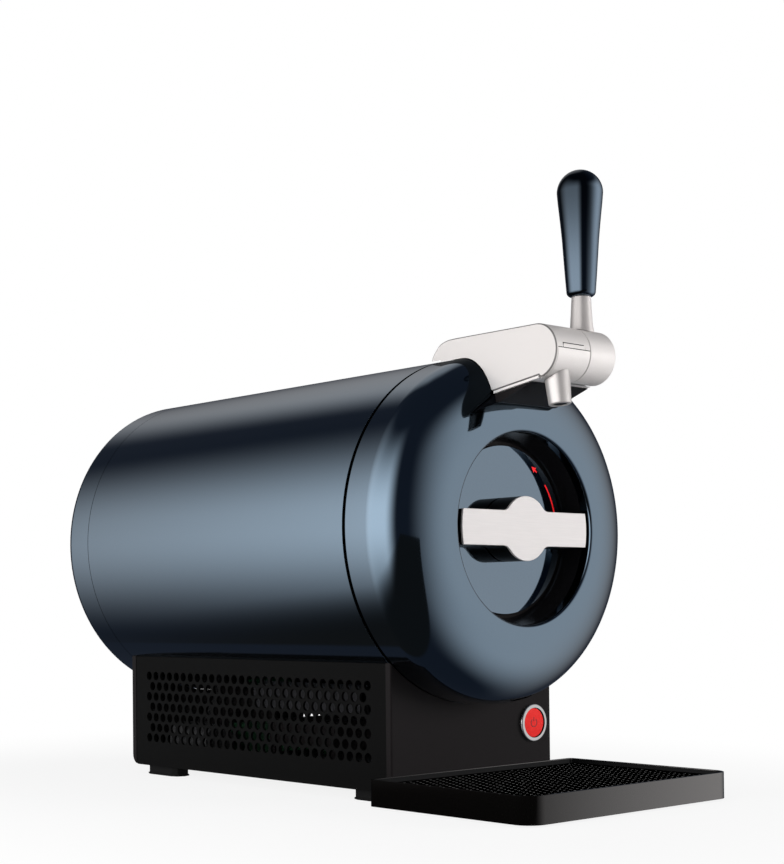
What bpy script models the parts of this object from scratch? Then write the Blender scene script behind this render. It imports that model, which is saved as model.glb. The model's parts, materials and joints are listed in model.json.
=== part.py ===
"""Mini keg beer dispenser: a chilled barrel on a vented base, with a door that carries the tap.

Sizes are metres. X points right as seen from the front, Y points to the back, Z points up.
Places are worked out from the seam between door and barrel (Y zero) and the table top (Z zero).
The finished solids are moved along Y so that the origin lies under the middle of the whole machine.
"""
import math

import bmesh
import bpy
from mathutils import Matrix, Vector

for old_object in list(bpy.data.objects):
    bpy.data.objects.remove(old_object, do_unlink=True)

# Barrel and door, turned about one axis that runs front to back
BARREL_RADIUS = 0.125
BARREL_AXIS_HEIGHT = 0.1917
BARREL_TOP = BARREL_AXIS_HEIGHT + BARREL_RADIUS
BARREL_LENGTH = 0.322
REAR_CAP_LENGTH = 0.034
REAR_CAP_ROUNDING = 0.009
SHELL_WALL = 0.002
SEAM_GAP = 0.002
REAR_SEAM = 0.0006
RIM_BEVEL = 0.0008
DOOR_DEPTH = 0.0545
DOOR_ROUND_DEPTH = 0.0325
DOOR_ROUND_DROP = 0.0484
DOOR_WALL = 0.0025

# Recess in the door, with its disc and its turning bar
RECESS_RADIUS = 0.0684
RECESS_FLOOR_RADIUS = 0.0632
RECESS_RIM_FILLET = 0.004
RECESS_DEPTH = 0.0222
RECESS_WALL = 0.0025
DISC_RADIUS = 0.0607
DISC_THICKNESS = 0.002
CORE_RADIUS = 0.0715
CORE_THICKNESS = 0.003
CORE_POST_RADIUS = 0.004
CORE_POST_CIRCLE = 0.062
CORE_POST_COUNT = 4
SCREW_RADIUS = 0.0018
BAR_HALF_HEIGHT = 0.0124
BAR_END_RADIUS = 0.0645
BAR_BODY_END_RADIUS = 0.0622
BAR_BULGE_RADIUS = 0.023
BAR_FILLET = 0.008
BAR_FACE_SET_BACK = 0.0009
BAR_PLATE_THICKNESS = 0.0018
KNOB_SHAFT_RADIUS = 0.007

# Latch behind the disc: a crank pin drives one sliding bolt
CRANK_RADIUS = 0.006
CRANK_DISC_RADIUS = 0.011
CRANK_DISC_THICKNESS = 0.0028
CRANK_PIN_RADIUS = 0.0015
CRANK_START_ANGLE = math.radians(240)
BOLT_HALF_HEIGHT = 0.006
BOLT_THICKNESS = 0.003
BOLT_SET_IN = 0.027
BOLT_REACH = BARREL_RADIUS - BOLT_SET_IN
BOLT_ARM_WIDTH = 0.006
BOLT_TIP_LENGTH = 0.005
BOLT_TIP_THICKNESS = 0.0035
BOLT_TIP_PAST_SEAM = 0.007
BOLT_TRAVEL = 0.0062
BOLT_GUIDE_THICKNESS = 0.003
BOLT_GUIDE_REACH = 0.050
BOLT_GUIDE_LENGTH = 0.012

# Door inside
LINER_THICKNESS = 0.0027
PLUG_RADIUS = 0.052
PLUG_PAST_SEAM = 0.004
GASKET_RADIUS = 0.072
GASKET_WIDTH = 0.006
GASKET_HEIGHT = 0.0015
DOOR_FOAM_THICKNESS = 0.0147
TUBE_SLOT_HALF_WIDTH = 0.007
TUBE_SLOT_TOP = 0.105
GROMMET_RADIUS = 0.0077
GROMMET_BORE = 0.005
GROMMET_DROP_BACK = 0.0055

# Door hinge at the right, its pin upright
HINGE_SET_IN = 0.0055
HINGE_X = BARREL_RADIUS - HINGE_SET_IN
HINGE_FRONT = 0.010
KNUCKLE_RADIUS = 0.0055
HINGE_PIN_RADIUS = 0.0025
HINGE_HALF_HEIGHT = 0.020
HINGE_EAR_HEIGHT = 0.008
HINGE_ARM_LEFT = 0.004
HINGE_ARM_RIGHT = 0.0005
HINGE_PLATE = 0.0015
HINGE_POCKET_LEFT = 0.0085
HINGE_POCKET_FRONT = 0.009
HINGE_POCKET_MARGIN = 0.002
HINGE_LEAF_REACH = 0.016
HINGE_LEAF_THICKNESS = 0.003

# Chilled chamber
CHAMBER_RADIUS = 0.054
CHAMBER_WALL = 0.0015
CHAMBER_SET_IN = 0.016
CHAMBER_BACK = BARREL_LENGTH - CHAMBER_SET_IN
FRONT_FRAME_THICKNESS = 0.008
FRONT_FRAME_SET_BACK = 0.0002
BULKHEAD_THICKNESS = 0.004
FOAM_FACE_GAP = 0.0003
WINDOW_HALF_WIDTH = 0.040
WINDOW_FRONT = 0.078
WINDOW_BACK = 0.222
STRIKE_SET_IN = 0.019
STRIKE_WIDTH = 0.022
STRIKE_LEFT = BARREL_RADIUS - STRIKE_SET_IN
STRIKE_RIGHT = STRIKE_LEFT - STRIKE_WIDTH
STRIKE_HALF_HEIGHT = 0.008

# Cooling unit under the chamber
BLOCK_HALF_WIDTH = 0.030
BLOCK_FRONT = 0.110
BLOCK_BACK = 0.190
BLOCK_BASE_DROP = 0.012
MODULE_HALF_WIDTH = 0.020
MODULE_THICKNESS = 0.004
SINK_HALF_WIDTH = 0.036
SINK_FRONT = 0.085
SINK_BACK = 0.215
SINK_PLATE = 0.006
SINK_FIN_COUNT = 11
SINK_FIN_THICKNESS = 0.0022
SINK_FIN_BOTTOM = 0.056
FAN_HALF_WIDTH = 0.040
FAN_DEPTH = 0.020
FAN_BORE_RADIUS = 0.0365
FAN_HUB_RADIUS = 0.015
FAN_HUB_HEIGHT = 0.014
FAN_BLADE_COUNT = 7
FAN_BLADE_REACH = 0.0345
FAN_BLADE_THICKNESS = 0.0016
FAN_BLADE_PITCH = math.radians(32)
FAN_STAND = 0.018
FAN_ARM_WIDTH = 0.004
FAN_ARM_HEIGHT = 0.003
FAN_LEG = 0.007

# Base
BASE_HALF_WIDTH = 0.083
BASE_SET_IN = 0.0015
BASE_LENGTH = BARREL_LENGTH - BASE_SET_IN
BASE_BOTTOM = 0.0075
BASE_WALL = 0.0025
BASE_RETURN = 0.005
BASE_FLOOR = 0.003
BASE_CORNER = 0.008
GRILLE_THICKNESS = 0.002
GRILLE_SET_IN = 0.0004
GRILLE_ROWS = 5
GRILLE_LONG_ROW = 17
GRILLE_COLUMN_PITCH = 0.017
GRILLE_ROW_PITCH = 0.0128
GRILLE_HOLE_RADIUS = 0.0064
GRILLE_HOLE_SIDES = 4
GRILLE_FIRST_ROW = 0.0307
GRILLE_FIRST_COLUMN = 0.0246
FOOT_HALF_WIDTH = 0.0075
FOOT_LENGTH = 0.0445
FOOT_PAD = 0.0012
FOOT_PAD_RIM = 0.0009
REAR_FOOT_SET_IN = 0.0585
REAR_FOOT_START = BASE_LENGTH - REAR_FOOT_SET_IN
FRONT_FOOT_START = 0.0018
FOOT_SET_IN = 0.011
FOOT_X = BASE_HALF_WIDTH - FOOT_SET_IN

# Electrics in the base
BOARD_THICKNESS = 0.0016
BOARD_POST_HEIGHT = 0.006
BOARD_POST_RADIUS = 0.003
BOARD_POST_INSET = 0.0042
POWER_BOARD_LENGTH = 0.060
POWER_BOARD_WIDTH = 0.090
CONTROL_BOARD_LENGTH = 0.032
CONTROL_BOARD_WIDTH = 0.060
PART_TALL = 0.022
PART_LOW = 0.008
PUMP_RADIUS = 0.014
PUMP_LENGTH = 0.034
PUMP_HEAD = 0.016
INLET_HALF_WIDTH = 0.0115
INLET_HEIGHT = 0.015
INLET_DEPTH = 0.018
INLET_FLANGE = 0.003
INLET_Z = 0.040
HOSE_RADIUS = 0.0025
INLET_X = 0.045
POWER_BOARD_X = 0.020
POWER_BOARD_SET_IN = 0.0865
POWER_BOARD_FRONT = BASE_LENGTH - POWER_BOARD_SET_IN
CONTROL_BOARD_FRONT = 0.034
PUMP_X = 0.055
PUMP_SET_IN = 0.0845
PUMP_FRONT = BASE_LENGTH - PUMP_SET_IN
HOSE_HOLE_RADIUS = 0.005
HOSE_HOLE_SET_IN = 0.0072
HOSE_HOLE_Y = BARREL_LENGTH - HOSE_HOLE_SET_IN
COUPLING_RADIUS = 0.008
COUPLING_BORE = 0.003

# Power button on the front panel
BUTTON_SET_IN = 0.0211
BUTTON_RISE_SHARE = 0.4647
BUTTON_X = BASE_HALF_WIDTH - BUTTON_SET_IN
BUTTON_RING_RADIUS = 0.0141
BUTTON_RING_HEIGHT = 0.003
BUTTON_RADIUS = 0.011
BUTTON_TRAVEL = 0.002
BUTTON_STEM_RADIUS = 0.004
BUTTON_STEM_LENGTH = 0.010
SWITCH_DEPTH = 0.014

# Drip tray and its grid
TRAY_HALF_WIDTH = 0.105
TRAY_FRONT = 0.1494
TRAY_BOTTOM = 0.001
TRAY_TOP = 0.0194
TRAY_WALL = 0.002
TRAY_FLOOR = 0.0018
TRAY_CORNER = 0.014
TRAY_BACK_CORNER = 0.004
TRAY_PAD_RADIUS = 0.008
TRAY_PAD_INSET = 0.030
TONGUE_HALF_WIDTH = 0.009
TONGUE_X = 0.040
TONGUE_LENGTH = 0.050
TONGUE_HEIGHT = 0.0045
GRID_DROP = 0.0032
GRID_THICKNESS = 0.0015
GRID_BACK = 0.0062
GRID_SLOT_COUNT = 9
GRID_SLOT_WIDTH = 0.005
GRID_SLOT_MARGIN = 0.016
GRID_LEG_RADIUS = 0.003
GRID_LEG_INSET = 0.022

# Tap on the door
TAP_HALF_WIDTH = 0.0313
TAP_AXIS_Y = 0.092
TAP_AXIS_DROP = 0.0072
TAP_AXIS_Z = BARREL_TOP - TAP_AXIS_DROP
TAP_RADIUS = 0.0187
TAP_TAIL = 0.0088
TAP_TAIL_DROP = 0.0022
TAP_TAIL_LOW = BARREL_TOP - TAP_TAIL_DROP
TAIL_SHARES = ((1, 0), (0.80, 0.28), (0.17, 0.735), (-0.35, 0.89), (-0.98, 0.977), (-1.8, 1))
TAP_TIP_Y = 0.0525
TAP_TIP_DROP = 0.0335
TAP_TIP_Z = BARREL_TOP - TAP_TIP_DROP
TAP_EDGE_RUN = 0.0265
TAP_EDGE_FALL = 0.0039
TAP_LIP = 0.002
TAP_WALL = 0.002
TAP_BEVEL = 0.002
TAP_DRUM_START = 0.0036
TAP_DRUM_GAP = 0.0006
TAP_PART_RISE = 0.001
TAP_PART_LINE = TAP_AXIS_Z + TAP_PART_RISE
TAP_TAIL_GAP = 0.002
TAP_SEAT_GAP = 0.0004
WEDGE_DROP = 0.038
WEDGE_BOTTOM = BARREL_TOP - WEDGE_DROP
WEDGE_INSET = 0.002
WEDGE_START = 0.008
FINGER_LEFT = 0.0244
FINGER_RIGHT = 0.0014
FINGER_HEIGHT = 0.0033
FINGER_DEPTH = 0.0011
COVER_PIN_RADIUS = 0.0009
COVER_PIN_SET_IN = 0.004
COVER_PIN_RISE = 0.0013
COVER_ROOM_BACK = 0.0012
CHANNEL_DROP = 0.0081
EAR_RADIUS = 0.0018
EAR_START = 0.024
EAR_WIDTH = 0.0045
EAR_GAP = 0.0012
NOZZLE_X = 0.0160
NOZZLE_Y = 0.100
NOZZLE_TOP_RADIUS = 0.0098
NOZZLE_END_RADIUS = 0.0078
NOZZLE_BORE = 0.005
NOZZLE_DROP = 0.036
NOZZLE_END = TAP_AXIS_Z - NOZZLE_DROP
NOZZLE_TILT = math.radians(7)
STEM_X = 0.0166
STEM_LOW_RADIUS = 0.0086
STEM_TOP_RADIUS = 0.0067
STEM_HEIGHT = 0.042
STEM_TOP = TAP_AXIS_Z + STEM_HEIGHT
DRUM_WALL = 0.0035
DRUM_BEVEL = 0.0015
AXLE_RADIUS = 0.004
AXLE_HEAD_RADIUS = 0.007
HANDLE_HEIGHT = 0.089
HANDLE_TOP = STEM_TOP + HANDLE_HEIGHT
HANDLE_FOOT_FILLET = 0.0035
HANDLE_GRIP_RADIUS = 0.01605
HANDLE_WAIST_RADIUS = 0.0102
FOOT_FILLET_SHARES = ((0.15, 0.5), (0.5, 0.87), (1, 1))
HANDLE_SHARES = ((0.16, 0.15), (0.525, 0.45), (0.8, 0.77))

# General clearances, seam to seam
FIT = 0.0003
RUNNING = 0.0005
OVERRUN = 0.002

# Steps round turned pieces
LARGE_STEPS = 40
MEDIUM_STEPS = 20
SMALL_STEPS = 12
SCREW_SIDES = 6

ORIGIN_SHIFT = Vector((0, (TRAY_FRONT - BARREL_LENGTH - REAR_CAP_LENGTH) / 2, 0))
HALF_SEAM = SEAM_GAP / 2
DOOR_FACE = -DOOR_DEPTH
DOOR_BACK = -HALF_SEAM
BARREL_CENTRE = Vector((0, 0, BARREL_AXIS_HEIGHT))
HINGE_CENTRE = Vector((HINGE_X, -HINGE_FRONT, BARREL_AXIS_HEIGHT))
TAP_CENTRE = Vector((0, -TAP_AXIS_Y, TAP_AXIS_Z))
DISC_FACE = DOOR_FACE + RECESS_DEPTH
CORE_FACE = DISC_FACE + DISC_THICKNESS + FIT
CORE_BACK = CORE_FACE + CORE_THICKNESS
LINER_BACK = DOOR_BACK - FIT
LINER_FACE = LINER_BACK - LINER_THICKNESS


class Finish:
    """One material with the colour, roughness and metal share of a real surface."""

    def __init__(self, name, colour, roughness, metallic=0.0):
        self.material = bpy.data.materials.new(name)
        self.material.use_nodes = True
        shader = self.material.node_tree.nodes["Principled BSDF"]
        shader.inputs["Base Color"].default_value = (*colour, 1.0)
        shader.inputs["Roughness"].default_value = roughness
        shader.inputs["Metallic"].default_value = metallic


BLUE_PAINT = Finish("blue_paint", (0.035, 0.055, 0.08), 0.28, 0.6)
BLUE_GLOSS = Finish("blue_gloss", (0.03, 0.045, 0.07), 0.12, 0.4)
SATIN_SILVER = Finish("satin_silver", (0.62, 0.60, 0.58), 0.38, 0.8)
BRUSHED_PLATE = Finish("brushed_plate", (0.75, 0.73, 0.70), 0.32, 0.8)
BLACK_SATIN = Finish("black_satin", (0.012, 0.011, 0.011), 0.45)
BLACK_RUBBER = Finish("black_rubber", (0.015, 0.015, 0.015), 0.8)
WHITE_FOAM = Finish("white_foam", (0.8, 0.78, 0.7), 0.9)
PALE_PLASTIC = Finish("pale_plastic", (0.6, 0.6, 0.6), 0.5)
ALUMINIUM = Finish("aluminium", (0.7, 0.7, 0.72), 0.35, 1.0)
STEEL = Finish("steel", (0.55, 0.55, 0.56), 0.3, 1.0)
BOARD_GREEN = Finish("board_green", (0.02, 0.16, 0.06), 0.5)
RED_ANODISED = Finish("red_anodised", (0.55, 0.02, 0.02), 0.3, 0.7)


def on_axis(axis, along, across, up=0.0):
    """Point with one coordinate along the named axis and the other two in X, Y, Z order."""
    if axis == "X":
        return Vector((along, across, up))
    if axis == "Y":
        return Vector((across, along, up))
    return Vector((across, up, along))


AXIS_VECTOR = {"X": Vector((1, 0, 0)), "Y": Vector((0, 1, 0)), "Z": Vector((0, 0, 1))}


def turned(profile, axis, centre, steps):
    """Closed solid turned about an axis from (along, radius) points."""
    mesh = bmesh.new()
    points = [mesh.verts.new(centre + on_axis(axis, along, radius)) for along, radius in profile]
    edges = []
    for index, point in enumerate(points):
        if profile[index][1] > 0 or profile[index - 1][1] > 0:
            edges.append(mesh.edges.new((points[index - 1], point)))
    bmesh.ops.spin(mesh, geom=points + edges, cent=centre, axis=AXIS_VECTOR[axis],
                   angle=math.tau, steps=steps, use_merge=True)
    bmesh.ops.remove_doubles(mesh, verts=mesh.verts, dist=FIT / 100)
    bmesh.ops.recalc_face_normals(mesh, faces=mesh.faces)
    return mesh


def prism(outline, axis, low, high):
    """Closed solid pulled along an axis from an outline in the other two coordinates."""
    mesh = bmesh.new()
    points = [mesh.verts.new(on_axis(axis, low, across, up)) for across, up in outline]
    face = mesh.faces.new(points)
    pulled = bmesh.ops.extrude_face_region(mesh, geom=[face])
    moved = [item for item in pulled["geom"] if isinstance(item, bmesh.types.BMVert)]
    bmesh.ops.translate(mesh, verts=moved, vec=AXIS_VECTOR[axis] * (high - low))
    bmesh.ops.recalc_face_normals(mesh, faces=mesh.faces)
    return mesh


def lofted(sections):
    """Closed solid through outlines with equal point counts, each at its own place along X."""
    mesh = bmesh.new()
    rings = [[mesh.verts.new((x_place, y, z)) for y, z in outline] for x_place, outline in sections]
    for low, high in zip(rings, rings[1:]):
        for index in range(len(low)):
            mesh.faces.new((low[index - 1], low[index], high[index], high[index - 1]))
    mesh.faces.new(rings[0])
    mesh.faces.new(rings[-1])
    bmesh.ops.recalc_face_normals(mesh, faces=mesh.faces)
    return mesh


def box(x_low, x_high, y_low, y_high, z_low, z_high):
    """Closed block between two corners."""
    outline = [(x_low, y_low), (x_high, y_low), (x_high, y_high), (x_low, y_high)]
    return prism(outline, "Z", z_low, z_high)


def rod(radius, axis, centre, low, high, steps=SMALL_STEPS):
    """Round bar along an axis."""
    return turned([(low, 0), (low, radius), (high, radius), (high, 0)], axis, centre, steps)


def arc(centre_across, centre_up, radius, start, end, count):
    """Points on an arc, both ends included."""
    angles = [start + (end - start) * index / count for index in range(count + 1)]
    return [(centre_across + radius * math.cos(a), centre_up + radius * math.sin(a)) for a in angles]


def place(name, mesh, pivot):
    """Object whose origin is the pivot, with the mesh where it was drawn."""
    data = bpy.data.meshes.new(name)
    bmesh.ops.translate(mesh, verts=mesh.verts, vec=-pivot)
    mesh.to_mesh(data)
    mesh.free()
    item = bpy.data.objects.new(name, data)
    item.location = pivot + ORIGIN_SHIFT
    bpy.context.collection.objects.link(item)
    return item


def piece(name, mesh, finish, pivot=Vector((0, 0, 0))):
    """Named piece of the machine, smooth where its faces meet at a shallow angle."""
    item = place(name, mesh, pivot)
    item.data.materials.append(finish.material)
    item.data.shade_smooth()
    item.data.set_sharp_from_angle(angle=math.radians(35))
    return item


def tool(mesh):
    """Hidden shape that cuts or joins a piece."""
    item = place("shaping_tool", mesh, Vector((0, 0, 0)))
    item.hide_render = True
    item.display_type = "WIRE"
    return item


def shape(item, operation, *meshes):
    """Adds one Boolean for each shaping mesh."""
    for mesh in meshes:
        step = item.modifiers.new(operation.lower(), "BOOLEAN")
        step.operation = operation
        step.object = tool(mesh)


def cut(item, *meshes):
    """Takes the shapes out of the piece."""
    shape(item, "DIFFERENCE", *meshes)


def join(item, *meshes):
    """Fuses the shapes with the piece."""
    shape(item, "UNION", *meshes)


def quarter_round(depth, drop, count, inset=0.0):
    """Points of the door's rounded shoulder, from its side to its face, set in by a wall."""
    start = DOOR_FACE + DOOR_ROUND_DEPTH
    inner = BARREL_RADIUS - DOOR_ROUND_DROP
    angles = [math.pi / 2 * index / count for index in range(count + 1)]
    return [(start - (depth - inset) * math.sin(a), inner + (drop - inset) * math.cos(a)) for a in angles]


def door_skin(grow, back, steps):
    """Solid with the door's outer form, grown by a gap, for what is shaped to sit on it."""
    outline = [(back, 0), (back, BARREL_RADIUS + grow)]
    outline += quarter_round(DOOR_ROUND_DEPTH, DOOR_ROUND_DROP, SHOULDER_STEPS, -grow)
    outline.append((DOOR_FACE - grow, 0))
    return turned(outline, "Y", BARREL_CENTRE, steps)


def barrel_skin(radius, front, back, steps=LARGE_STEPS):
    """Plain round solid on the barrel's axis."""
    return rod(radius, "Y", BARREL_CENTRE, front, back, steps)


SHOULDER_STEPS = 7
INNER_SHOULDER_STEPS = 3
FILLET_STEPS = 2
SHELL_INNER = BARREL_RADIUS - SHELL_WALL
BARREL_BACK = BARREL_LENGTH - REAR_SEAM / 2
CAP_FRONT = BARREL_LENGTH + REAR_SEAM / 2
CAP_BACK = BARREL_LENGTH + REAR_CAP_LENGTH
FRAME_FACE = HALF_SEAM + FRONT_FRAME_SET_BACK
FRAME_BACK = FRAME_FACE + FRONT_FRAME_THICKNESS
LINER_OUTER = CHAMBER_RADIUS + CHAMBER_WALL
BULKHEAD_FRONT = CHAMBER_BACK + FIT
BULKHEAD_BACK = BULKHEAD_FRONT + BULKHEAD_THICKNESS


def hose_hole():
    """Upright hole through the barrel's belly for the air hose."""
    belly = BARREL_AXIS_HEIGHT - BARREL_RADIUS
    return rod(HOSE_HOLE_RADIUS, "Z", Vector((0, HOSE_HOLE_Y, 0)), belly - OVERRUN,
               BARREL_AXIS_HEIGHT - BARREL_RADIUS / 2, SMALL_STEPS)


def make_barrel():
    """Painted tube with a window in its belly, where the cooling unit hangs through."""
    outline = [(HALF_SEAM, SHELL_INNER), (HALF_SEAM, BARREL_RADIUS - RIM_BEVEL),
               (HALF_SEAM + RIM_BEVEL, BARREL_RADIUS), (BARREL_BACK, BARREL_RADIUS),
               (BARREL_BACK, SHELL_INNER)]
    barrel = piece("barrel_shell", turned(outline, "Y", BARREL_CENTRE, LARGE_STEPS), BLUE_PAINT)
    cut(barrel, box(-WINDOW_HALF_WIDTH, WINDOW_HALF_WIDTH, WINDOW_FRONT, WINDOW_BACK,
                    BARREL_AXIS_HEIGHT - BARREL_RADIUS - OVERRUN, BARREL_AXIS_HEIGHT - SHELL_INNER / 2),
        hose_hole())

    cap_inner = BARREL_RADIUS - SHELL_WALL
    inner_round = REAR_CAP_ROUNDING - SHELL_WALL
    centre = (CAP_BACK - REAR_CAP_ROUNDING, BARREL_RADIUS - REAR_CAP_ROUNDING)
    outline = [(CAP_FRONT, cap_inner), (CAP_FRONT, BARREL_RADIUS)]
    outline += arc(*centre, REAR_CAP_ROUNDING, math.pi / 2, 0, 3)
    outline += [(CAP_BACK, 0), (CAP_BACK - SHELL_WALL, 0)]
    outline += arc(*centre, inner_round, 0, math.pi / 2, 1)
    piece("rear_cap", turned(outline, "Y", BARREL_CENTRE, LARGE_STEPS), BLUE_PAINT)


def make_chamber():
    """Front frame, cold liner, insulation and rear bulkhead inside the barrel."""
    frame_rim = SHELL_INNER - FIT
    mouth = LINER_OUTER + FIT
    outline = [(FRAME_FACE, mouth), (FRAME_FACE, frame_rim), (FRAME_BACK, frame_rim), (FRAME_BACK, mouth)]
    frame = piece("front_frame", turned(outline, "Y", BARREL_CENTRE, LARGE_STEPS), BLACK_SATIN)
    cut(frame, box(-STRIKE_LEFT, -STRIKE_RIGHT, FRAME_FACE - OVERRUN, FRAME_BACK + OVERRUN,
                   BARREL_AXIS_HEIGHT - STRIKE_HALF_HEIGHT, BARREL_AXIS_HEIGHT + STRIKE_HALF_HEIGHT))

    outline = [(FRAME_FACE, LINER_OUTER), (FRAME_FACE, CHAMBER_RADIUS),
               (CHAMBER_BACK - CHAMBER_WALL, CHAMBER_RADIUS),
               (CHAMBER_BACK - CHAMBER_WALL, COUPLING_RADIUS + FIT),
               (CHAMBER_BACK, COUPLING_RADIUS + FIT), (CHAMBER_BACK, LINER_OUTER)]
    piece("chamber_liner", turned(outline, "Y", BARREL_CENTRE, LARGE_STEPS), ALUMINIUM)

    foam_front = FRAME_BACK + FOAM_FACE_GAP
    foam_inner = LINER_OUTER + FIT
    foam_outer = SHELL_INNER - FIT
    outline = [(foam_front, foam_inner), (foam_front, foam_outer), (CHAMBER_BACK, foam_outer),
               (CHAMBER_BACK, foam_inner)]
    foam = piece("insulation_foam", turned(outline, "Y", BARREL_CENTRE, LARGE_STEPS), WHITE_FOAM)
    cut(foam, box(-WINDOW_HALF_WIDTH, WINDOW_HALF_WIDTH, WINDOW_FRONT, WINDOW_BACK,
                  BARREL_AXIS_HEIGHT - BARREL_RADIUS - OVERRUN, BARREL_AXIS_HEIGHT))

    outline = [(BULKHEAD_FRONT, COUPLING_RADIUS + FIT), (BULKHEAD_FRONT, foam_outer),
               (BULKHEAD_BACK, foam_outer), (BULKHEAD_BACK, COUPLING_RADIUS + FIT)]
    piece("rear_bulkhead", turned(outline, "Y", BARREL_CENTRE, MEDIUM_STEPS), BLACK_SATIN)
    make_air_coupling(foam_outer)


def make_air_coupling(spacer_outer):
    """Air inlet for the keg, through the bulkhead, and the ring that spaces the rear cap."""
    neck = CHAMBER_BACK - CHAMBER_WALL - COUPLING_RADIUS / 2
    flange = BULKHEAD_BACK + FIT
    tail = flange + COUPLING_RADIUS
    outline = [(neck, COUPLING_BORE), (neck, COUPLING_RADIUS), (flange, COUPLING_RADIUS),
               (flange, COUPLING_RADIUS * 3 / 2), (flange + CHAMBER_WALL, COUPLING_RADIUS * 3 / 2),
               (flange + CHAMBER_WALL, COUPLING_RADIUS / 2), (tail, COUPLING_RADIUS / 2),
               (tail, COUPLING_BORE)]
    piece("air_coupling", turned(outline, "Y", BARREL_CENTRE, SMALL_STEPS), PALE_PLASTIC)
    inner = spacer_outer - SHELL_WALL
    lip = CAP_FRONT + SHELL_WALL * 2
    outline = [(BULKHEAD_BACK + FIT, inner), (BULKHEAD_BACK + FIT, spacer_outer), (lip, spacer_outer),
               (lip, inner)]
    ring = piece("rear_joint_ring", turned(outline, "Y", BARREL_CENTRE, LARGE_STEPS), BLACK_SATIN)
    cut(ring, hose_hole())


def make_cooling():
    """Cold block, cooling module, finned sink and fan, hung one under another below the chamber."""
    block_bottom = BARREL_AXIS_HEIGHT - LINER_OUTER - BLOCK_BASE_DROP
    block = piece("cold_block", box(-BLOCK_HALF_WIDTH, BLOCK_HALF_WIDTH, BLOCK_FRONT, BLOCK_BACK,
                                    block_bottom, BARREL_AXIS_HEIGHT - LINER_OUTER + BLOCK_BASE_DROP),
                  ALUMINIUM)
    cut(block, barrel_skin(LINER_OUTER + FIT, BLOCK_FRONT - OVERRUN, BLOCK_BACK + OVERRUN))
    module_top = block_bottom - FIT
    module_bottom = module_top - MODULE_THICKNESS
    middle = (BLOCK_FRONT + BLOCK_BACK) / 2
    piece("cooling_module", box(-MODULE_HALF_WIDTH, MODULE_HALF_WIDTH, middle - MODULE_HALF_WIDTH,
                                middle + MODULE_HALF_WIDTH, module_bottom, module_top), PALE_PLASTIC)
    sink_top = module_bottom - FIT
    fin_top = sink_top - SINK_PLATE
    pitch = (2 * SINK_HALF_WIDTH - SINK_FIN_THICKNESS) / (SINK_FIN_COUNT - 1)
    outline = [(SINK_HALF_WIDTH, sink_top), (-SINK_HALF_WIDTH, sink_top)]
    for index in range(SINK_FIN_COUNT):
        left = -SINK_HALF_WIDTH + index * pitch
        right = left + SINK_FIN_THICKNESS
        outline += [(left, SINK_FIN_BOTTOM), (right, SINK_FIN_BOTTOM)]
        if index < SINK_FIN_COUNT - 1:
            outline += [(right, fin_top), (left + pitch, fin_top)]
    piece("heat_sink", prism(outline, "Y", SINK_FRONT, SINK_BACK), ALUMINIUM)
    make_fan((SINK_FRONT + SINK_BACK) / 2)


def fan_blade(centre, angle, low, high):
    """One flat blade, pitched about its own length, from the hub outwards."""
    blade = box(FAN_HUB_RADIUS - FAN_BLADE_THICKNESS, FAN_BLADE_REACH,
                -FAN_BLADE_THICKNESS / 2, FAN_BLADE_THICKNESS / 2, low, high)
    bmesh.ops.rotate(blade, verts=blade.verts, cent=(0, 0, (low + high) / 2),
                     matrix=Matrix.Rotation(FAN_BLADE_PITCH, 3, "X"))
    bmesh.ops.rotate(blade, verts=blade.verts, cent=(0, 0, 0), matrix=Matrix.Rotation(angle, 3, "Z"))
    bmesh.ops.translate(blade, verts=blade.verts, vec=Vector((centre.x, centre.y, 0)))
    return blade


def make_fan(middle):
    """Frame on four legs with a turning fan in its bore, blowing up through the fins."""
    bottom = BASE_BOTTOM + BASE_FLOOR + FAN_STAND
    top = bottom + FAN_DEPTH
    centre = Vector((0, middle, 0))
    frame = piece("fan_frame", box(-FAN_HALF_WIDTH, FAN_HALF_WIDTH, middle - FAN_HALF_WIDTH,
                                   middle + FAN_HALF_WIDTH, bottom, top), BLACK_SATIN)
    cut(frame, rod(FAN_BORE_RADIUS, "Z", centre, bottom - OVERRUN, top + OVERRUN, MEDIUM_STEPS))
    arm_top = bottom + FAN_ARM_HEIGHT
    join(frame, box(-FAN_HALF_WIDTH + OVERRUN, FAN_HALF_WIDTH - OVERRUN, middle - FAN_ARM_WIDTH / 2,
                    middle + FAN_ARM_WIDTH / 2, bottom, arm_top))
    join(frame, rod(FAN_HUB_RADIUS, "Z", centre, bottom, arm_top + FAN_ARM_HEIGHT / 2))
    floor = BASE_BOTTOM + BASE_FLOOR + FIT
    for side in (-1, 1):
        for end in (-1, 1):
            x_leg = side * (FAN_HALF_WIDTH - FAN_LEG / 2)
            y_leg = middle + end * (FAN_HALF_WIDTH - FAN_LEG / 2)
            join(frame, box(x_leg - FAN_LEG / 2, x_leg + FAN_LEG / 2, y_leg - FAN_LEG / 2,
                            y_leg + FAN_LEG / 2, floor, bottom + OVERRUN))
    low = arm_top + FAN_ARM_HEIGHT / 2 + RUNNING
    high = low + FAN_HUB_HEIGHT
    hub = [(low, 0), (low, FAN_HUB_RADIUS), (high, FAN_HUB_RADIUS), (high, 0)]
    fan = piece("fan_impeller", turned(hub, "Z", centre, MEDIUM_STEPS), BLACK_SATIN, centre)
    for index in range(FAN_BLADE_COUNT):
        join(fan, fan_blade(centre, math.tau * index / FAN_BLADE_COUNT, low, high))


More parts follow.
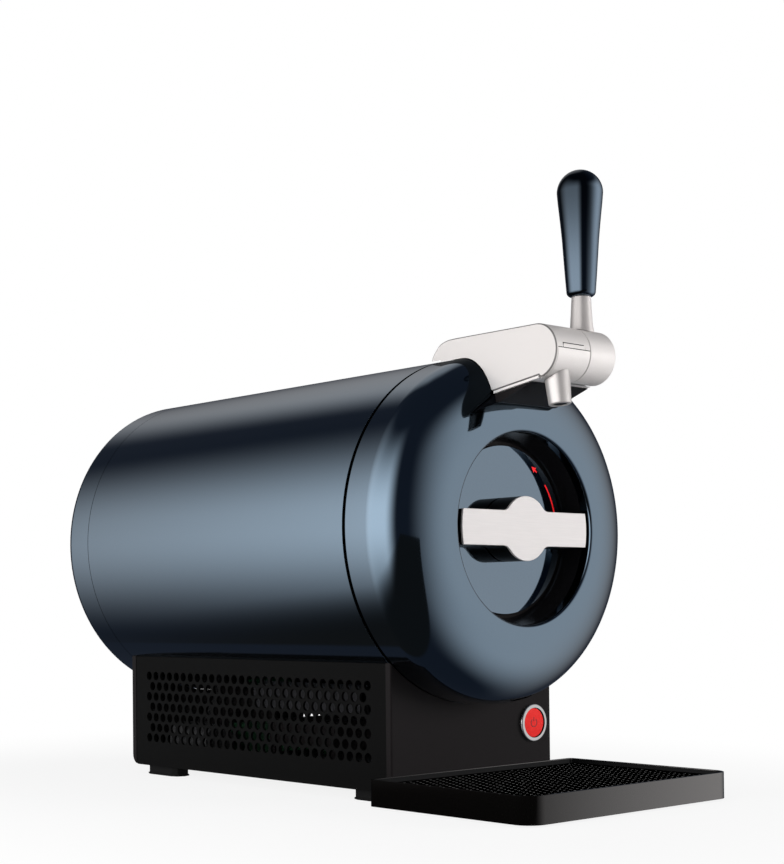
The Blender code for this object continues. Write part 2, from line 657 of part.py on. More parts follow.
BASE_BACK = BASE_LENGTH
BASE_TOP = BARREL_AXIS_HEIGHT - math.sqrt(BARREL_RADIUS ** 2 - BASE_HALF_WIDTH ** 2)
FLOOR_TOP = BASE_BOTTOM + BASE_FLOOR
CORNER_Y = BASE_BACK - BASE_CORNER
CORNER_Z = BASE_BOTTOM + BASE_CORNER
RETURN_BACK = BASE_BACK - BASE_RETURN
GRILLE_FRONT = BASE_RETURN + FIT
GRILLE_BACK = RETURN_BACK - FIT
GRILLE_OUTER = BASE_HALF_WIDTH - GRILLE_SET_IN
GRILLE_INNER = GRILLE_OUTER - GRILLE_THICKNESS
CORNER_STEPS = 4


def barrel_seat():
    """Round cutter that shapes the top of each base panel to the barrel."""
    return barrel_skin(BARREL_RADIUS + RUNNING, -OVERRUN, BASE_BACK + OVERRUN)


def make_base_panels():
    """Front and rear panels with side returns, the floor and the two pierced sides."""
    inner = BASE_HALF_WIDTH - BASE_WALL
    outline = [(-BASE_HALF_WIDTH, 0), (BASE_HALF_WIDTH, 0), (BASE_HALF_WIDTH, BASE_RETURN),
               (inner, BASE_RETURN), (inner, BASE_WALL), (-inner, BASE_WALL), (-inner, BASE_RETURN),
               (-BASE_HALF_WIDTH, BASE_RETURN)]
    front = piece("base_front", prism(outline, "Z", BASE_BOTTOM, BASE_TOP), BLACK_SATIN)
    cut(front, barrel_seat(), rod(BUTTON_RING_RADIUS - BASE_WALL / 2 + FIT, "Y", BUTTON_CENTRE, -OVERRUN,
                                  BASE_WALL + OVERRUN, MEDIUM_STEPS))

    outer_arc = arc(CORNER_Y, CORNER_Z, BASE_CORNER, -math.pi / 2, 0, CORNER_STEPS)
    inner_arc = arc(CORNER_Y, CORNER_Z, BASE_CORNER - BASE_WALL, 0, -math.pi / 2, CORNER_STEPS)
    outline = outer_arc + [(BASE_BACK, BASE_TOP), (BASE_BACK - BASE_WALL, BASE_TOP)] + inner_arc
    half = GRILLE_INNER - FIT
    rear = piece("base_rear", prism(outline, "X", -half, half), BLACK_SATIN)
    side_start = math.asin((RETURN_BACK - CORNER_Y) / BASE_CORNER) - math.pi / 2
    side = arc(CORNER_Y, CORNER_Z, BASE_CORNER, side_start, 0, CORNER_STEPS)
    side += [(BASE_BACK, BASE_TOP), (RETURN_BACK, BASE_TOP)]
    join(rear, prism(side, "X", -BASE_HALF_WIDTH, BASE_WALL - half),
         prism(side, "X", half - BASE_WALL, BASE_HALF_WIDTH))
    cut(rear, barrel_seat(), box(INLET_X - INLET_HALF_WIDTH - FIT, INLET_X + INLET_HALF_WIDTH + FIT,
                                 BASE_BACK - BASE_WALL - OVERRUN, BASE_BACK + OVERRUN,
                                 INLET_Z - INLET_HEIGHT / 2 - FIT, INLET_Z + INLET_HEIGHT / 2 + FIT))
    make_floor()
    for name, side in (("base_left_grille", -1), ("base_right_grille", 1)):
        make_grille(name, side)


def make_floor():
    """Floor plate with guide ribs for the tray's tongues and holes for the foot screws."""
    half = GRILLE_INNER - FIT
    floor = piece("base_floor", box(-half, half, BASE_WALL + FIT, CORNER_Y - FIT, BASE_BOTTOM, FLOOR_TOP),
                  BLACK_SATIN)
    for side in (-1, 1):
        for edge in (-1, 1):
            near = side * TONGUE_X + edge * (TONGUE_HALF_WIDTH + RUNNING)
            far = near + edge * BASE_WALL
            join(floor, box(min(near, far), max(near, far), BASE_RETURN, TONGUE_LENGTH,
                            TRAY_BOTTOM + TRAY_BOTTOM, BASE_BOTTOM + FIT))


def make_grille(name, side):
    """Side panel with staggered rows of small openings, its top shaped to the barrel."""
    corner_end = math.asin((GRILLE_BACK - CORNER_Y) / BASE_CORNER) - math.pi / 2
    outline = [(GRILLE_FRONT, BASE_TOP), (GRILLE_FRONT, BASE_BOTTOM)]
    outline += arc(CORNER_Y, CORNER_Z, BASE_CORNER, -math.pi / 2, corner_end, 2)
    outline.append((GRILLE_BACK, BASE_TOP))
    inner, outer = sorted((side * GRILLE_INNER, side * GRILLE_OUTER))
    grille = piece(name, prism(outline, "X", inner, outer), BLACK_SATIN)
    holes = bmesh.new()
    for row in range(GRILLE_ROWS):
        short = row % 2
        for column in range(GRILLE_LONG_ROW - short):
            hole_y = GRILLE_FIRST_COLUMN + (column + short / 2) * GRILLE_COLUMN_PITCH
            hole_z = GRILLE_FIRST_ROW + row * GRILLE_ROW_PITCH
            ring = arc(hole_y, hole_z, GRILLE_HOLE_RADIUS, 0, math.tau, GRILLE_HOLE_SIDES)[:-1]
            low = [holes.verts.new((inner - OVERRUN, y, z)) for y, z in ring]
            high = [holes.verts.new((outer + OVERRUN, y, z)) for y, z in ring]
            holes.faces.new(reversed(low))
            holes.faces.new(high)
            for index in range(GRILLE_HOLE_SIDES):
                after = (index + 1) % GRILLE_HOLE_SIDES
                holes.faces.new((low[index], low[after], high[after], high[index]))
    bmesh.ops.recalc_face_normals(holes, faces=holes.faces)
    cut(grille, holes, barrel_seat())


def stadium(centre_x, start, length, half_width, count):
    """Outline of a bar with round ends, its length along Y."""
    front = start + half_width
    back = start + length - half_width
    return (arc(centre_x, back, half_width, 0, math.pi, count)
            + arc(centre_x, front, half_width, math.pi, math.tau, count))


FOOT_PLACES = [(side * FOOT_X, start) for side in (-1, 1) for start in (FRONT_FOOT_START, REAR_FOOT_START)]
FOOT_NAMES = ("foot_left_front", "foot_left_rear", "foot_right_front", "foot_right_rear")


def make_feet():
    """Four rubber feet stuck under the floor, each with a slightly wider sole."""
    for name, (foot_x, start) in zip(FOOT_NAMES, FOOT_PLACES):
        outline = stadium(foot_x, start, FOOT_LENGTH, FOOT_HALF_WIDTH, 4)
        foot = piece(name, prism(outline, "Z", FOOT_PAD - FOOT_PAD_RIM / 3, BASE_BOTTOM - FIT), BLACK_RUBBER)
        pad = stadium(foot_x, start - FOOT_PAD_RIM, FOOT_LENGTH + 2 * FOOT_PAD_RIM,
                      FOOT_HALF_WIDTH + FOOT_PAD_RIM, 4)
        join(foot, prism(pad, "Z", 0, FOOT_PAD))


BUTTON_CEILING = BARREL_AXIS_HEIGHT - math.sqrt(BARREL_RADIUS ** 2 - BUTTON_X ** 2)
BUTTON_Z = TRAY_TOP + BUTTON_RISE_SHARE * (BUTTON_CEILING - TRAY_TOP)
BUTTON_CENTRE = Vector((BUTTON_X, 0, BUTTON_Z))


def board(name, centre_x, front, width, length, parts):
    """Circuit board on four posts, with blocks for its larger parts."""
    bottom = FLOOR_TOP + FIT + BOARD_POST_HEIGHT
    top = bottom + BOARD_THICKNESS
    left = centre_x - width / 2
    item = piece(name, box(left, left + width, front, front + length, bottom, top), BOARD_GREEN)
    for x_share in (0, 1):
        for y_share in (0, 1):
            post_x = left + BOARD_POST_INSET + x_share * (width - 2 * BOARD_POST_INSET)
            post_y = front + BOARD_POST_INSET + y_share * (length - 2 * BOARD_POST_INSET)
            join(item, rod(BOARD_POST_RADIUS, "Z", Vector((post_x, post_y, 0)), FLOOR_TOP + FIT,
                           bottom + BOARD_THICKNESS / 2, 8))
    for x_low, x_high, y_low, y_high, height in parts:
        join(item, box(left + x_low * width, left + x_high * width, front + y_low * length,
                       front + y_high * length, top - BOARD_THICKNESS / 2, top + height))


def make_electrics():
    """Boards, air pump, mains inlet and the air hose."""
    power_part_shares = [(0.06, 0.34, 0.15, 0.60, PART_TALL), (0.42, 0.60, 0.20, 0.50, PART_TALL),
                         (0.68, 0.92, 0.12, 0.42, PART_LOW), (0.45, 0.90, 0.62, 0.82, PART_TALL / 2)]
    board("power_board", POWER_BOARD_X, POWER_BOARD_FRONT, POWER_BOARD_WIDTH, POWER_BOARD_LENGTH,
          power_part_shares)
    control_part_shares = [(0.15, 0.40, 0.25, 0.75, PART_LOW / 2), (0.60, 0.85, 0.20, 0.50, PART_LOW)]
    board("control_board", 0, CONTROL_BOARD_FRONT, CONTROL_BOARD_WIDTH, CONTROL_BOARD_LENGTH,
          control_part_shares)

    pump_z = FLOOR_TOP + FIT + PUMP_RADIUS + PUMP_HEAD / 4
    centre = Vector((-PUMP_X, 0, pump_z))
    head_front = PUMP_FRONT + PUMP_LENGTH
    pump = piece("air_pump", rod(PUMP_RADIUS, "Y", centre, PUMP_FRONT, head_front, MEDIUM_STEPS), STEEL)
    join(pump, box(-PUMP_X - PUMP_RADIUS, -PUMP_X + PUMP_RADIUS, head_front - PUMP_HEAD / 4,
                   head_front + PUMP_HEAD, FLOOR_TOP + FIT, pump_z + PUMP_RADIUS))
    join(pump, box(-PUMP_X - PUMP_RADIUS / 2, -PUMP_X + PUMP_RADIUS / 2, PUMP_FRONT + PUMP_HEAD / 4,
                   PUMP_FRONT + PUMP_HEAD, FLOOR_TOP + FIT, pump_z))

    inlet_front = BASE_BACK - INLET_DEPTH
    half_height = INLET_HEIGHT / 2
    flange_back = BASE_BACK + FIT + BASE_WALL / 2
    inlet = piece("power_inlet", box(INLET_X - INLET_HALF_WIDTH, INLET_X + INLET_HALF_WIDTH, inlet_front,
                                     flange_back, INLET_Z - half_height, INLET_Z + half_height), BLACK_SATIN)
    join(inlet, box(INLET_X - INLET_HALF_WIDTH - INLET_FLANGE, INLET_X + INLET_HALF_WIDTH + INLET_FLANGE,
                    BASE_BACK + FIT, flange_back, INLET_Z - half_height - INLET_FLANGE,
                    INLET_Z + half_height + INLET_FLANGE))
    socket = stadium(0, -INLET_HALF_WIDTH + BASE_WALL, 2 * (INLET_HALF_WIDTH - BASE_WALL),
                     half_height - BASE_WALL, 6)
    socket = [(INLET_X + along, INLET_Z + across) for across, along in socket]
    cut(inlet, prism(socket, "Y", inlet_front + BASE_WALL, flange_back + OVERRUN))
    for side in (-1, 1):
        pin = Vector((INLET_X + side * INLET_HALF_WIDTH * 0.38, 0, INLET_Z))
        join(inlet, rod(INLET_FLANGE / 3, "Y", pin, inlet_front + BASE_WALL / 2, BASE_BACK - INLET_FLANGE, 8))
    make_hose(pump_z, head_front + PUMP_HEAD)


def smooth_route(points, count):
    """Points along a smooth curve through the given ones."""
    padded = [2 * points[0] - points[1]] + points + [2 * points[-1] - points[-2]]
    route = []
    for a, b, c, d in zip(padded, padded[1:], padded[2:], padded[3:]):
        for index in range(count):
            t = index / count
            route.append(((2 * b) + (c - a) * t + (2 * a - 5 * b + 4 * c - d) * t ** 2
                          + (3 * b - a - 3 * c + d) * t ** 3) / 2)
    return route + [points[-1]]


def make_hose(pump_z, pump_back):
    """Air hose from the pump through the barrel's belly to the coupling behind the chamber."""
    coupling_back = BULKHEAD_BACK + FIT + COUPLING_RADIUS + FIT
    turn = (CAP_BACK - coupling_back) / 2
    places = [Vector((-PUMP_X, pump_back + RUNNING, pump_z)),
              Vector((-PUMP_X, pump_back + HOSE_RADIUS * 2, pump_z)),
              Vector((-PUMP_X, pump_back + HOSE_RADIUS * 4, pump_z)),
              Vector((-PUMP_X * 0.5, HOSE_HOLE_Y - HOSE_RADIUS * 2, pump_z + HOSE_RADIUS * 2)),
              Vector((0, HOSE_HOLE_Y, BARREL_AXIS_HEIGHT - BARREL_RADIUS - HOSE_RADIUS * 3)),
              Vector((0, HOSE_HOLE_Y, BARREL_AXIS_HEIGHT - BARREL_RADIUS + HOSE_RADIUS * 4)),
              Vector((0, coupling_back + turn, BARREL_AXIS_HEIGHT - BARREL_RADIUS / 2)),
              Vector((0, coupling_back + turn, BARREL_AXIS_HEIGHT - turn)),
              Vector((0, coupling_back + turn / 2, BARREL_AXIS_HEIGHT)),
              Vector((0, coupling_back, BARREL_AXIS_HEIGHT))]
    route = smooth_route(places, 4)
    curve = bpy.data.curves.new("air_hose", "CURVE")
    curve.dimensions = "3D"
    curve.bevel_depth = HOSE_RADIUS
    curve.bevel_resolution = 1
    curve.use_fill_caps = True
    line = curve.splines.new("POLY")
    line.points.add(len(route) - 1)
    for point, spot in zip(line.points, route):
        point.co = (*(spot + ORIGIN_SHIFT), 1)
    curve.materials.append(PALE_PLASTIC.material)
    bpy.context.collection.objects.link(bpy.data.objects.new("air_hose", curve))


def make_button():
    """Steel ring, sliding power button and the switch cup behind the panel."""
    neck = BUTTON_RING_RADIUS - BASE_WALL / 2
    bore = BUTTON_RADIUS + FIT
    neck_back = BASE_WALL + SHELL_WALL
    outline = [(-BUTTON_RING_HEIGHT, bore), (-BUTTON_RING_HEIGHT, BUTTON_RING_RADIUS - RIM_BEVEL),
               (-BUTTON_RING_HEIGHT + RIM_BEVEL, BUTTON_RING_RADIUS), (-FIT, BUTTON_RING_RADIUS),
               (-FIT, neck), (neck_back, neck), (neck_back, bore)]
    piece("button_ring", turned(outline, "Y", BUTTON_CENTRE, MEDIUM_STEPS), STEEL)
    face = -BUTTON_RING_HEIGHT + RIM_BEVEL
    back = face + BASE_WALL * 2
    outline = [(face, 0), (face, BUTTON_RADIUS - RIM_BEVEL), (face + RIM_BEVEL, BUTTON_RADIUS),
               (back, BUTTON_RADIUS), (back, BUTTON_STEM_RADIUS), (back + BUTTON_STEM_LENGTH,
               BUTTON_STEM_RADIUS), (back + BUTTON_STEM_LENGTH, 0)]
    piece("power_button", turned(outline, "Y", BUTTON_CENTRE, MEDIUM_STEPS), RED_ANODISED,
          Vector((BUTTON_X, face, BUTTON_Z)))
    cup_front = neck_back + FIT
    cup_floor = back + BUTTON_STEM_LENGTH + BUTTON_TRAVEL + RUNNING
    outline = [(cup_front, bore), (cup_front, neck), (cup_floor + SWITCH_DEPTH / 2, neck),
               (cup_floor + SWITCH_DEPTH / 2, 0), (cup_floor, 0), (cup_floor, bore)]
    piece("button_switch", turned(outline, "Y", BUTTON_CENTRE, MEDIUM_STEPS), PALE_PLASTIC)


def tray_outline(inset):
    """Plan of the tray, its front corners broad and its back corners small."""
    half = TRAY_HALF_WIDTH - inset
    front = -TRAY_FRONT + inset
    back = -RUNNING - inset
    broad = TRAY_CORNER - inset
    small = max(TRAY_BACK_CORNER - inset, RIM_BEVEL)
    return (arc(half - small, back - small, small, 0, math.pi / 2, 2)
            + arc(-half + small, back - small, small, math.pi / 2, math.pi, 2)
            + arc(-half + broad, front + broad, broad, math.pi, 1.5 * math.pi, 8)
            + arc(half - broad, front + broad, broad, 1.5 * math.pi, math.tau, 8))


def make_tray():
    """Sliding tray with pads and two tongues under the base, and the lift-out grid."""
    tray = piece("drip_tray", prism(tray_outline(0), "Z", TRAY_BOTTOM, TRAY_TOP), BLACK_SATIN)
    floor = TRAY_BOTTOM + TRAY_FLOOR
    cut(tray, prism(tray_outline(TRAY_WALL), "Z", floor, TRAY_TOP + OVERRUN))
    for side in (-1, 1):
        for pad_y in (-TRAY_PAD_INSET, -TRAY_FRONT + TRAY_PAD_INSET):
            pad = Vector((side * (TRAY_HALF_WIDTH - TRAY_PAD_INSET), pad_y, 0))
            join(tray, rod(TRAY_PAD_RADIUS, "Z", pad, 0, TRAY_BOTTOM + TRAY_FLOOR / 2))
        join(tray, box(side * TONGUE_X - TONGUE_HALF_WIDTH, side * TONGUE_X + TONGUE_HALF_WIDTH,
                       -RUNNING - TRAY_WALL / 2, TONGUE_LENGTH, TRAY_BOTTOM + FIT,
                       TRAY_BOTTOM + TONGUE_HEIGHT))

    top = TRAY_TOP - GRID_DROP
    grid_shape = [(across, min(up, -GRID_BACK)) for across, up in tray_outline(TRAY_WALL + RUNNING)]
    kept = [point for index, point in enumerate(grid_shape) if point != grid_shape[index - 1]]
    grid = piece("drip_grid", prism(kept, "Z", top - GRID_THICKNESS, top), BLACK_SATIN)
    half = TRAY_HALF_WIDTH - GRID_SLOT_MARGIN
    span = TRAY_FRONT - GRID_BACK - 2 * GRID_SLOT_MARGIN
    pitch = (span - GRID_SLOT_WIDTH) / (GRID_SLOT_COUNT - 1)
    for index in range(GRID_SLOT_COUNT):
        near = -TRAY_FRONT + GRID_SLOT_MARGIN + index * pitch
        cut(grid, box(-half, half, near, near + GRID_SLOT_WIDTH, top - GRID_THICKNESS - OVERRUN,
                      top + OVERRUN))
    for side in (-1, 1):
        for leg_y in (-GRID_LEG_INSET / 2, -TRAY_FRONT + GRID_LEG_INSET / 2):
            leg = Vector((side * (TRAY_HALF_WIDTH - GRID_LEG_INSET), leg_y, 0))
            join(grid, rod(GRID_LEG_RADIUS, "Z", leg, floor + FIT, top - GRID_THICKNESS / 2, 8))


LIP_BACK = DOOR_FACE + 2 * RECESS_RIM_FILLET
POCKET_LEFT = HINGE_X - HINGE_POCKET_LEFT
POCKET_HALF_HEIGHT = HINGE_HALF_HEIGHT + HINGE_POCKET_MARGIN
TUBE_HOLE_Y = DOOR_FACE + DOOR_ROUND_DEPTH - GROMMET_DROP_BACK


def pocket(x_left):
    """Room in the door for the hinge, open to the right and to the back."""
    return box(x_left, BARREL_RADIUS + OVERRUN, -HINGE_FRONT - HINGE_POCKET_FRONT, OVERRUN,
               BARREL_AXIS_HEIGHT - POCKET_HALF_HEIGHT, BARREL_AXIS_HEIGHT + POCKET_HALF_HEIGHT)


def bolt_slot(y_low, y_high):
    """Slot through which the bolt's arm reaches back and slides."""
    return box(-BOLT_REACH - RUNNING, -BOLT_REACH + BOLT_ARM_WIDTH + BOLT_TRAVEL + RUNNING, y_low, y_high,
               BARREL_AXIS_HEIGHT - BOLT_HALF_HEIGHT - RUNNING,
               BARREL_AXIS_HEIGHT + BOLT_HALF_HEIGHT + RUNNING)


def tube_slot(y_low, y_high):
    """Slot that leads the keg's tube from the middle of the door up to the tap."""
    return box(-TUBE_SLOT_HALF_WIDTH, TUBE_SLOT_HALF_WIDTH, y_low, y_high,
               BARREL_AXIS_HEIGHT + 2 * TUBE_SLOT_HALF_WIDTH, BARREL_AXIS_HEIGHT + TUBE_SLOT_TOP)


def make_door_shell():
    """Painted front with its recess, the dark recess wall and the glossy disc."""
    shoulder = quarter_round(DOOR_ROUND_DEPTH, DOOR_ROUND_DROP, SHOULDER_STEPS)
    inside = quarter_round(DOOR_ROUND_DEPTH, DOOR_ROUND_DROP, INNER_SHOULDER_STEPS, DOOR_WALL)
    outline = [(DOOR_BACK, BARREL_RADIUS - DOOR_WALL), (DOOR_BACK, BARREL_RADIUS - RIM_BEVEL),
               (DOOR_BACK - RIM_BEVEL, BARREL_RADIUS)] + shoulder
    outline += arc(DOOR_FACE + RECESS_RIM_FILLET, RECESS_RADIUS + RECESS_RIM_FILLET, RECESS_RIM_FILLET,
                   math.pi, 1.5 * math.pi, FILLET_STEPS)
    outline += [(LIP_BACK, RECESS_RADIUS), (LIP_BACK, RECESS_RADIUS + RECESS_WALL),
                (DOOR_FACE + RECESS_RIM_FILLET, RECESS_RADIUS + RECESS_WALL)]
    outline += reversed(inside)
    shell = piece("door_shell", turned(outline, "Y", BARREL_CENTRE, LARGE_STEPS), BLUE_PAINT, HINGE_CENTRE)
    tube_hole = Vector((0, TUBE_HOLE_Y, 0))
    cut(shell, pocket(POCKET_LEFT), rod(GROMMET_RADIUS + FIT, "Z", tube_hole,
                                        BARREL_AXIS_HEIGHT + BARREL_RADIUS * 0.8,
                                        BARREL_AXIS_HEIGHT + BARREL_RADIUS + OVERRUN))
    outer_top = BARREL_AXIS_HEIGHT + BARREL_RADIUS - DOOR_WALL - GROMMET_RADIUS / 2
    outline = [(outer_top - GROMMET_RADIUS, GROMMET_BORE), (outer_top - GROMMET_RADIUS, GROMMET_RADIUS),
               (outer_top + DOOR_WALL, GROMMET_RADIUS), (outer_top + DOOR_WALL, GROMMET_BORE)]
    piece("tube_grommet", turned(outline, "Z", tube_hole, SMALL_STEPS), BLACK_RUBBER, HINGE_CENTRE)

    front = LIP_BACK + FIT
    back = CORE_FACE - FIT
    outline = [(front, RECESS_RADIUS), (front, RECESS_RADIUS + RECESS_WALL),
               (back, RECESS_FLOOR_RADIUS + RECESS_WALL), (back, RECESS_FLOOR_RADIUS)]
    piece("recess_wall", turned(outline, "Y", BARREL_CENTRE, LARGE_STEPS), BLACK_SATIN, HINGE_CENTRE)
    bore = KNOB_SHAFT_RADIUS + FIT
    outline = [(DISC_FACE, bore), (DISC_FACE, DISC_RADIUS), (DISC_FACE + DISC_THICKNESS, DISC_RADIUS),
               (DISC_FACE + DISC_THICKNESS, bore)]
    piece("door_disc", turned(outline, "Y", BARREL_CENTRE, LARGE_STEPS), BLUE_GLOSS, HINGE_CENTRE)


def make_door_inside():
    """Core plate on posts, foam, rear liner with its plug, gasket and screws."""
    bore = KNOB_SHAFT_RADIUS + FIT
    outline = [(CORE_FACE, bore), (CORE_FACE, CORE_RADIUS), (CORE_BACK, CORE_RADIUS), (CORE_BACK, bore)]
    core = piece("door_core", turned(outline, "Y", BARREL_CENTRE, MEDIUM_STEPS), BLACK_SATIN, HINGE_CENTRE)
    posts = []
    for index in range(CORE_POST_COUNT):
        angle = math.tau * (index + 0.5) / CORE_POST_COUNT
        posts.append(BARREL_CENTRE + CORE_POST_CIRCLE * Vector((math.cos(angle), 0, math.sin(angle))))
    screw_front = LINER_FACE - LINER_THICKNESS * 3
    for number, post in enumerate(posts, 1):
        join(core, rod(CORE_POST_RADIUS, "Y", post, CORE_BACK - CORE_THICKNESS / 2, LINER_FACE - FIT, 8))
        cut(core, rod(SCREW_RADIUS + FIT, "Y", post, screw_front - FIT, LINER_FACE + OVERRUN, SCREW_SIDES))
        head = LINER_BACK + FIT
        outline = [(screw_front, 0), (screw_front, SCREW_RADIUS), (head, SCREW_RADIUS),
                   (head, CORE_POST_RADIUS), (head + RIM_BEVEL, CORE_POST_RADIUS), (head + RIM_BEVEL, 0)]
        piece(f"door_screw_{number}", turned(outline, "Y", post, SCREW_SIDES), STEEL, HINGE_CENTRE)
    guide_left = -BOLT_GUIDE_REACH - BOLT_GUIDE_LENGTH / 2
    guide_right = -BOLT_GUIDE_REACH + BOLT_GUIDE_LENGTH / 2
    inner = BOLT_HALF_HEIGHT + RUNNING
    outer = inner + BOLT_GUIDE_THICKNESS
    bolt_back = BOLT_FRONT + BOLT_THICKNESS + RUNNING
    join(core, box(guide_left, guide_right, CORE_BACK - CORE_THICKNESS / 2,
                   bolt_back + BOLT_GUIDE_THICKNESS / 2,
                   BARREL_AXIS_HEIGHT - outer, BARREL_AXIS_HEIGHT + outer))
    cut(core, box(guide_left - OVERRUN, guide_right + OVERRUN, CORE_BACK - RUNNING, bolt_back,
                  BARREL_AXIS_HEIGHT - inner, BARREL_AXIS_HEIGHT + inner))

    rim = BARREL_RADIUS - DOOR_WALL - FIT
    foam_back = LINER_FACE - FIT
    outline = [(foam_back - DOOR_FOAM_THICKNESS, CORE_RADIUS + CORE_POST_RADIUS),
               (foam_back - DOOR_FOAM_THICKNESS, rim), (foam_back, rim),
               (foam_back, CORE_RADIUS + CORE_POST_RADIUS)]
    foam = piece("door_foam", turned(outline, "Y", BARREL_CENTRE, MEDIUM_STEPS), WHITE_FOAM, HINGE_CENTRE)
    cut(foam, pocket(HINGE_X - HINGE_LEAF_REACH - HINGE_POCKET_LEFT), bolt_slot(DOOR_FACE, OVERRUN),
        tube_slot(DOOR_FACE, OVERRUN))

    outline = [(LINER_FACE, 0), (LINER_FACE, rim), (LINER_BACK, rim), (LINER_BACK, PLUG_RADIUS),
               (PLUG_PAST_SEAM, PLUG_RADIUS), (PLUG_PAST_SEAM, 0)]
    liner = piece("door_liner", turned(outline, "Y", BARREL_CENTRE, LARGE_STEPS), PALE_PLASTIC, HINGE_CENTRE)
    cut(liner, pocket(POCKET_LEFT), bolt_slot(DOOR_FACE, OVERRUN),
        tube_slot(DOOR_FACE, PLUG_PAST_SEAM + OVERRUN))
    for post in posts:
        cut(liner, rod(SCREW_RADIUS + FIT, "Y", post, LINER_FACE - OVERRUN, OVERRUN, SCREW_SIDES))

    inner = GASKET_RADIUS - GASKET_WIDTH / 2
    outer = GASKET_RADIUS + GASKET_WIDTH / 2
    outline = [(LINER_BACK + FIT, inner), (LINER_BACK + FIT, outer),
               (FRAME_FACE - RUNNING, outer - GASKET_HEIGHT),
               (FRAME_FACE - RUNNING, inner + GASKET_HEIGHT)]
    gasket = piece("door_gasket", turned(outline, "Y", BARREL_CENTRE, MEDIUM_STEPS), BLACK_RUBBER,
                   HINGE_CENTRE)
    cut(gasket, tube_slot(DOOR_FACE, FRAME_BACK))


def make_hinge():
    """Fixed bracket with two ears, upright pin, and the door's leaf between the ears."""
    low = BARREL_AXIS_HEIGHT - HINGE_HALF_HEIGHT
    high = BARREL_AXIS_HEIGHT + HINGE_HALF_HEIGHT
    arm_left = HINGE_X - HINGE_ARM_LEFT
    arm_right = HINGE_X + HINGE_ARM_RIGHT
    plate_back = FRAME_FACE - FIT
    plate_front = plate_back - HINGE_PLATE
    bracket = piece("hinge_bracket", box(POCKET_LEFT + RUNNING * 2, arm_right, plate_front, plate_back, low,
                                         high),
                    STEEL)
    for ear_low in (low, high - HINGE_EAR_HEIGHT):
        ear_high = ear_low + HINGE_EAR_HEIGHT
        join(bracket, box(arm_left, arm_right, -HINGE_FRONT, plate_front + HINGE_PLATE / 2, ear_low,
                          ear_high))
        join(bracket, rod(KNUCKLE_RADIUS, "Z", HINGE_CENTRE_FLAT, ear_low, ear_high))
    cut(bracket, rod(HINGE_PIN_RADIUS + FIT, "Z", HINGE_CENTRE_FLAT, low - OVERRUN, high + OVERRUN))
    piece("hinge_pin", rod(HINGE_PIN_RADIUS, "Z", HINGE_CENTRE_FLAT, low - FIT, high + FIT), STEEL)
    leaf_low = low + HINGE_EAR_HEIGHT + RUNNING
    leaf_high = high - HINGE_EAR_HEIGHT - RUNNING
    leaf = piece("hinge_leaf", rod(KNUCKLE_RADIUS, "Z", HINGE_CENTRE_FLAT, leaf_low, leaf_high), STEEL,
                 HINGE_CENTRE)
    leaf_back = LINER_FACE - FIT
    join(leaf, box(HINGE_X - HINGE_LEAF_REACH - HINGE_POCKET_LEFT + RUNNING, HINGE_X,
                   leaf_back - HINGE_LEAF_THICKNESS,
                   leaf_back, leaf_low, leaf_high))
    cut(leaf, rod(HINGE_PIN_RADIUS + FIT, "Z", HINGE_CENTRE_FLAT, leaf_low - OVERRUN, leaf_high + OVERRUN))


def bar_outline(end_radius):
    """Outline of the turning bar: round ends, a round middle and fillets between."""
    half = BAR_HALF_HEIGHT
    middle = BAR_BULGE_RADIUS
    fillet = BAR_FILLET
    fillet_z = half + fillet
    fillet_x = math.sqrt((middle + fillet) ** 2 - fillet_z ** 2)
    touch = math.atan2(fillet_z, fillet_x)
    end = math.asin(half / end_radius)
    outline = arc(0, 0, end_radius, -end, end, 4)
    outline += arc(fillet_x, fillet_z, fillet, -math.pi / 2, -math.pi + touch, 2)
    outline += arc(0, 0, middle, touch, math.pi - touch, 8)[1:-1]
    outline += arc(-fillet_x, fillet_z, fillet, -touch, -math.pi / 2, 2)
    upper = outline[5:]
    outline += arc(0, 0, end_radius, math.pi - end, math.pi + end, 4)
    outline += [(-x, -z) for x, z in upper]
    return [(x, z + BARREL_AXIS_HEIGHT) for x, z in outline]


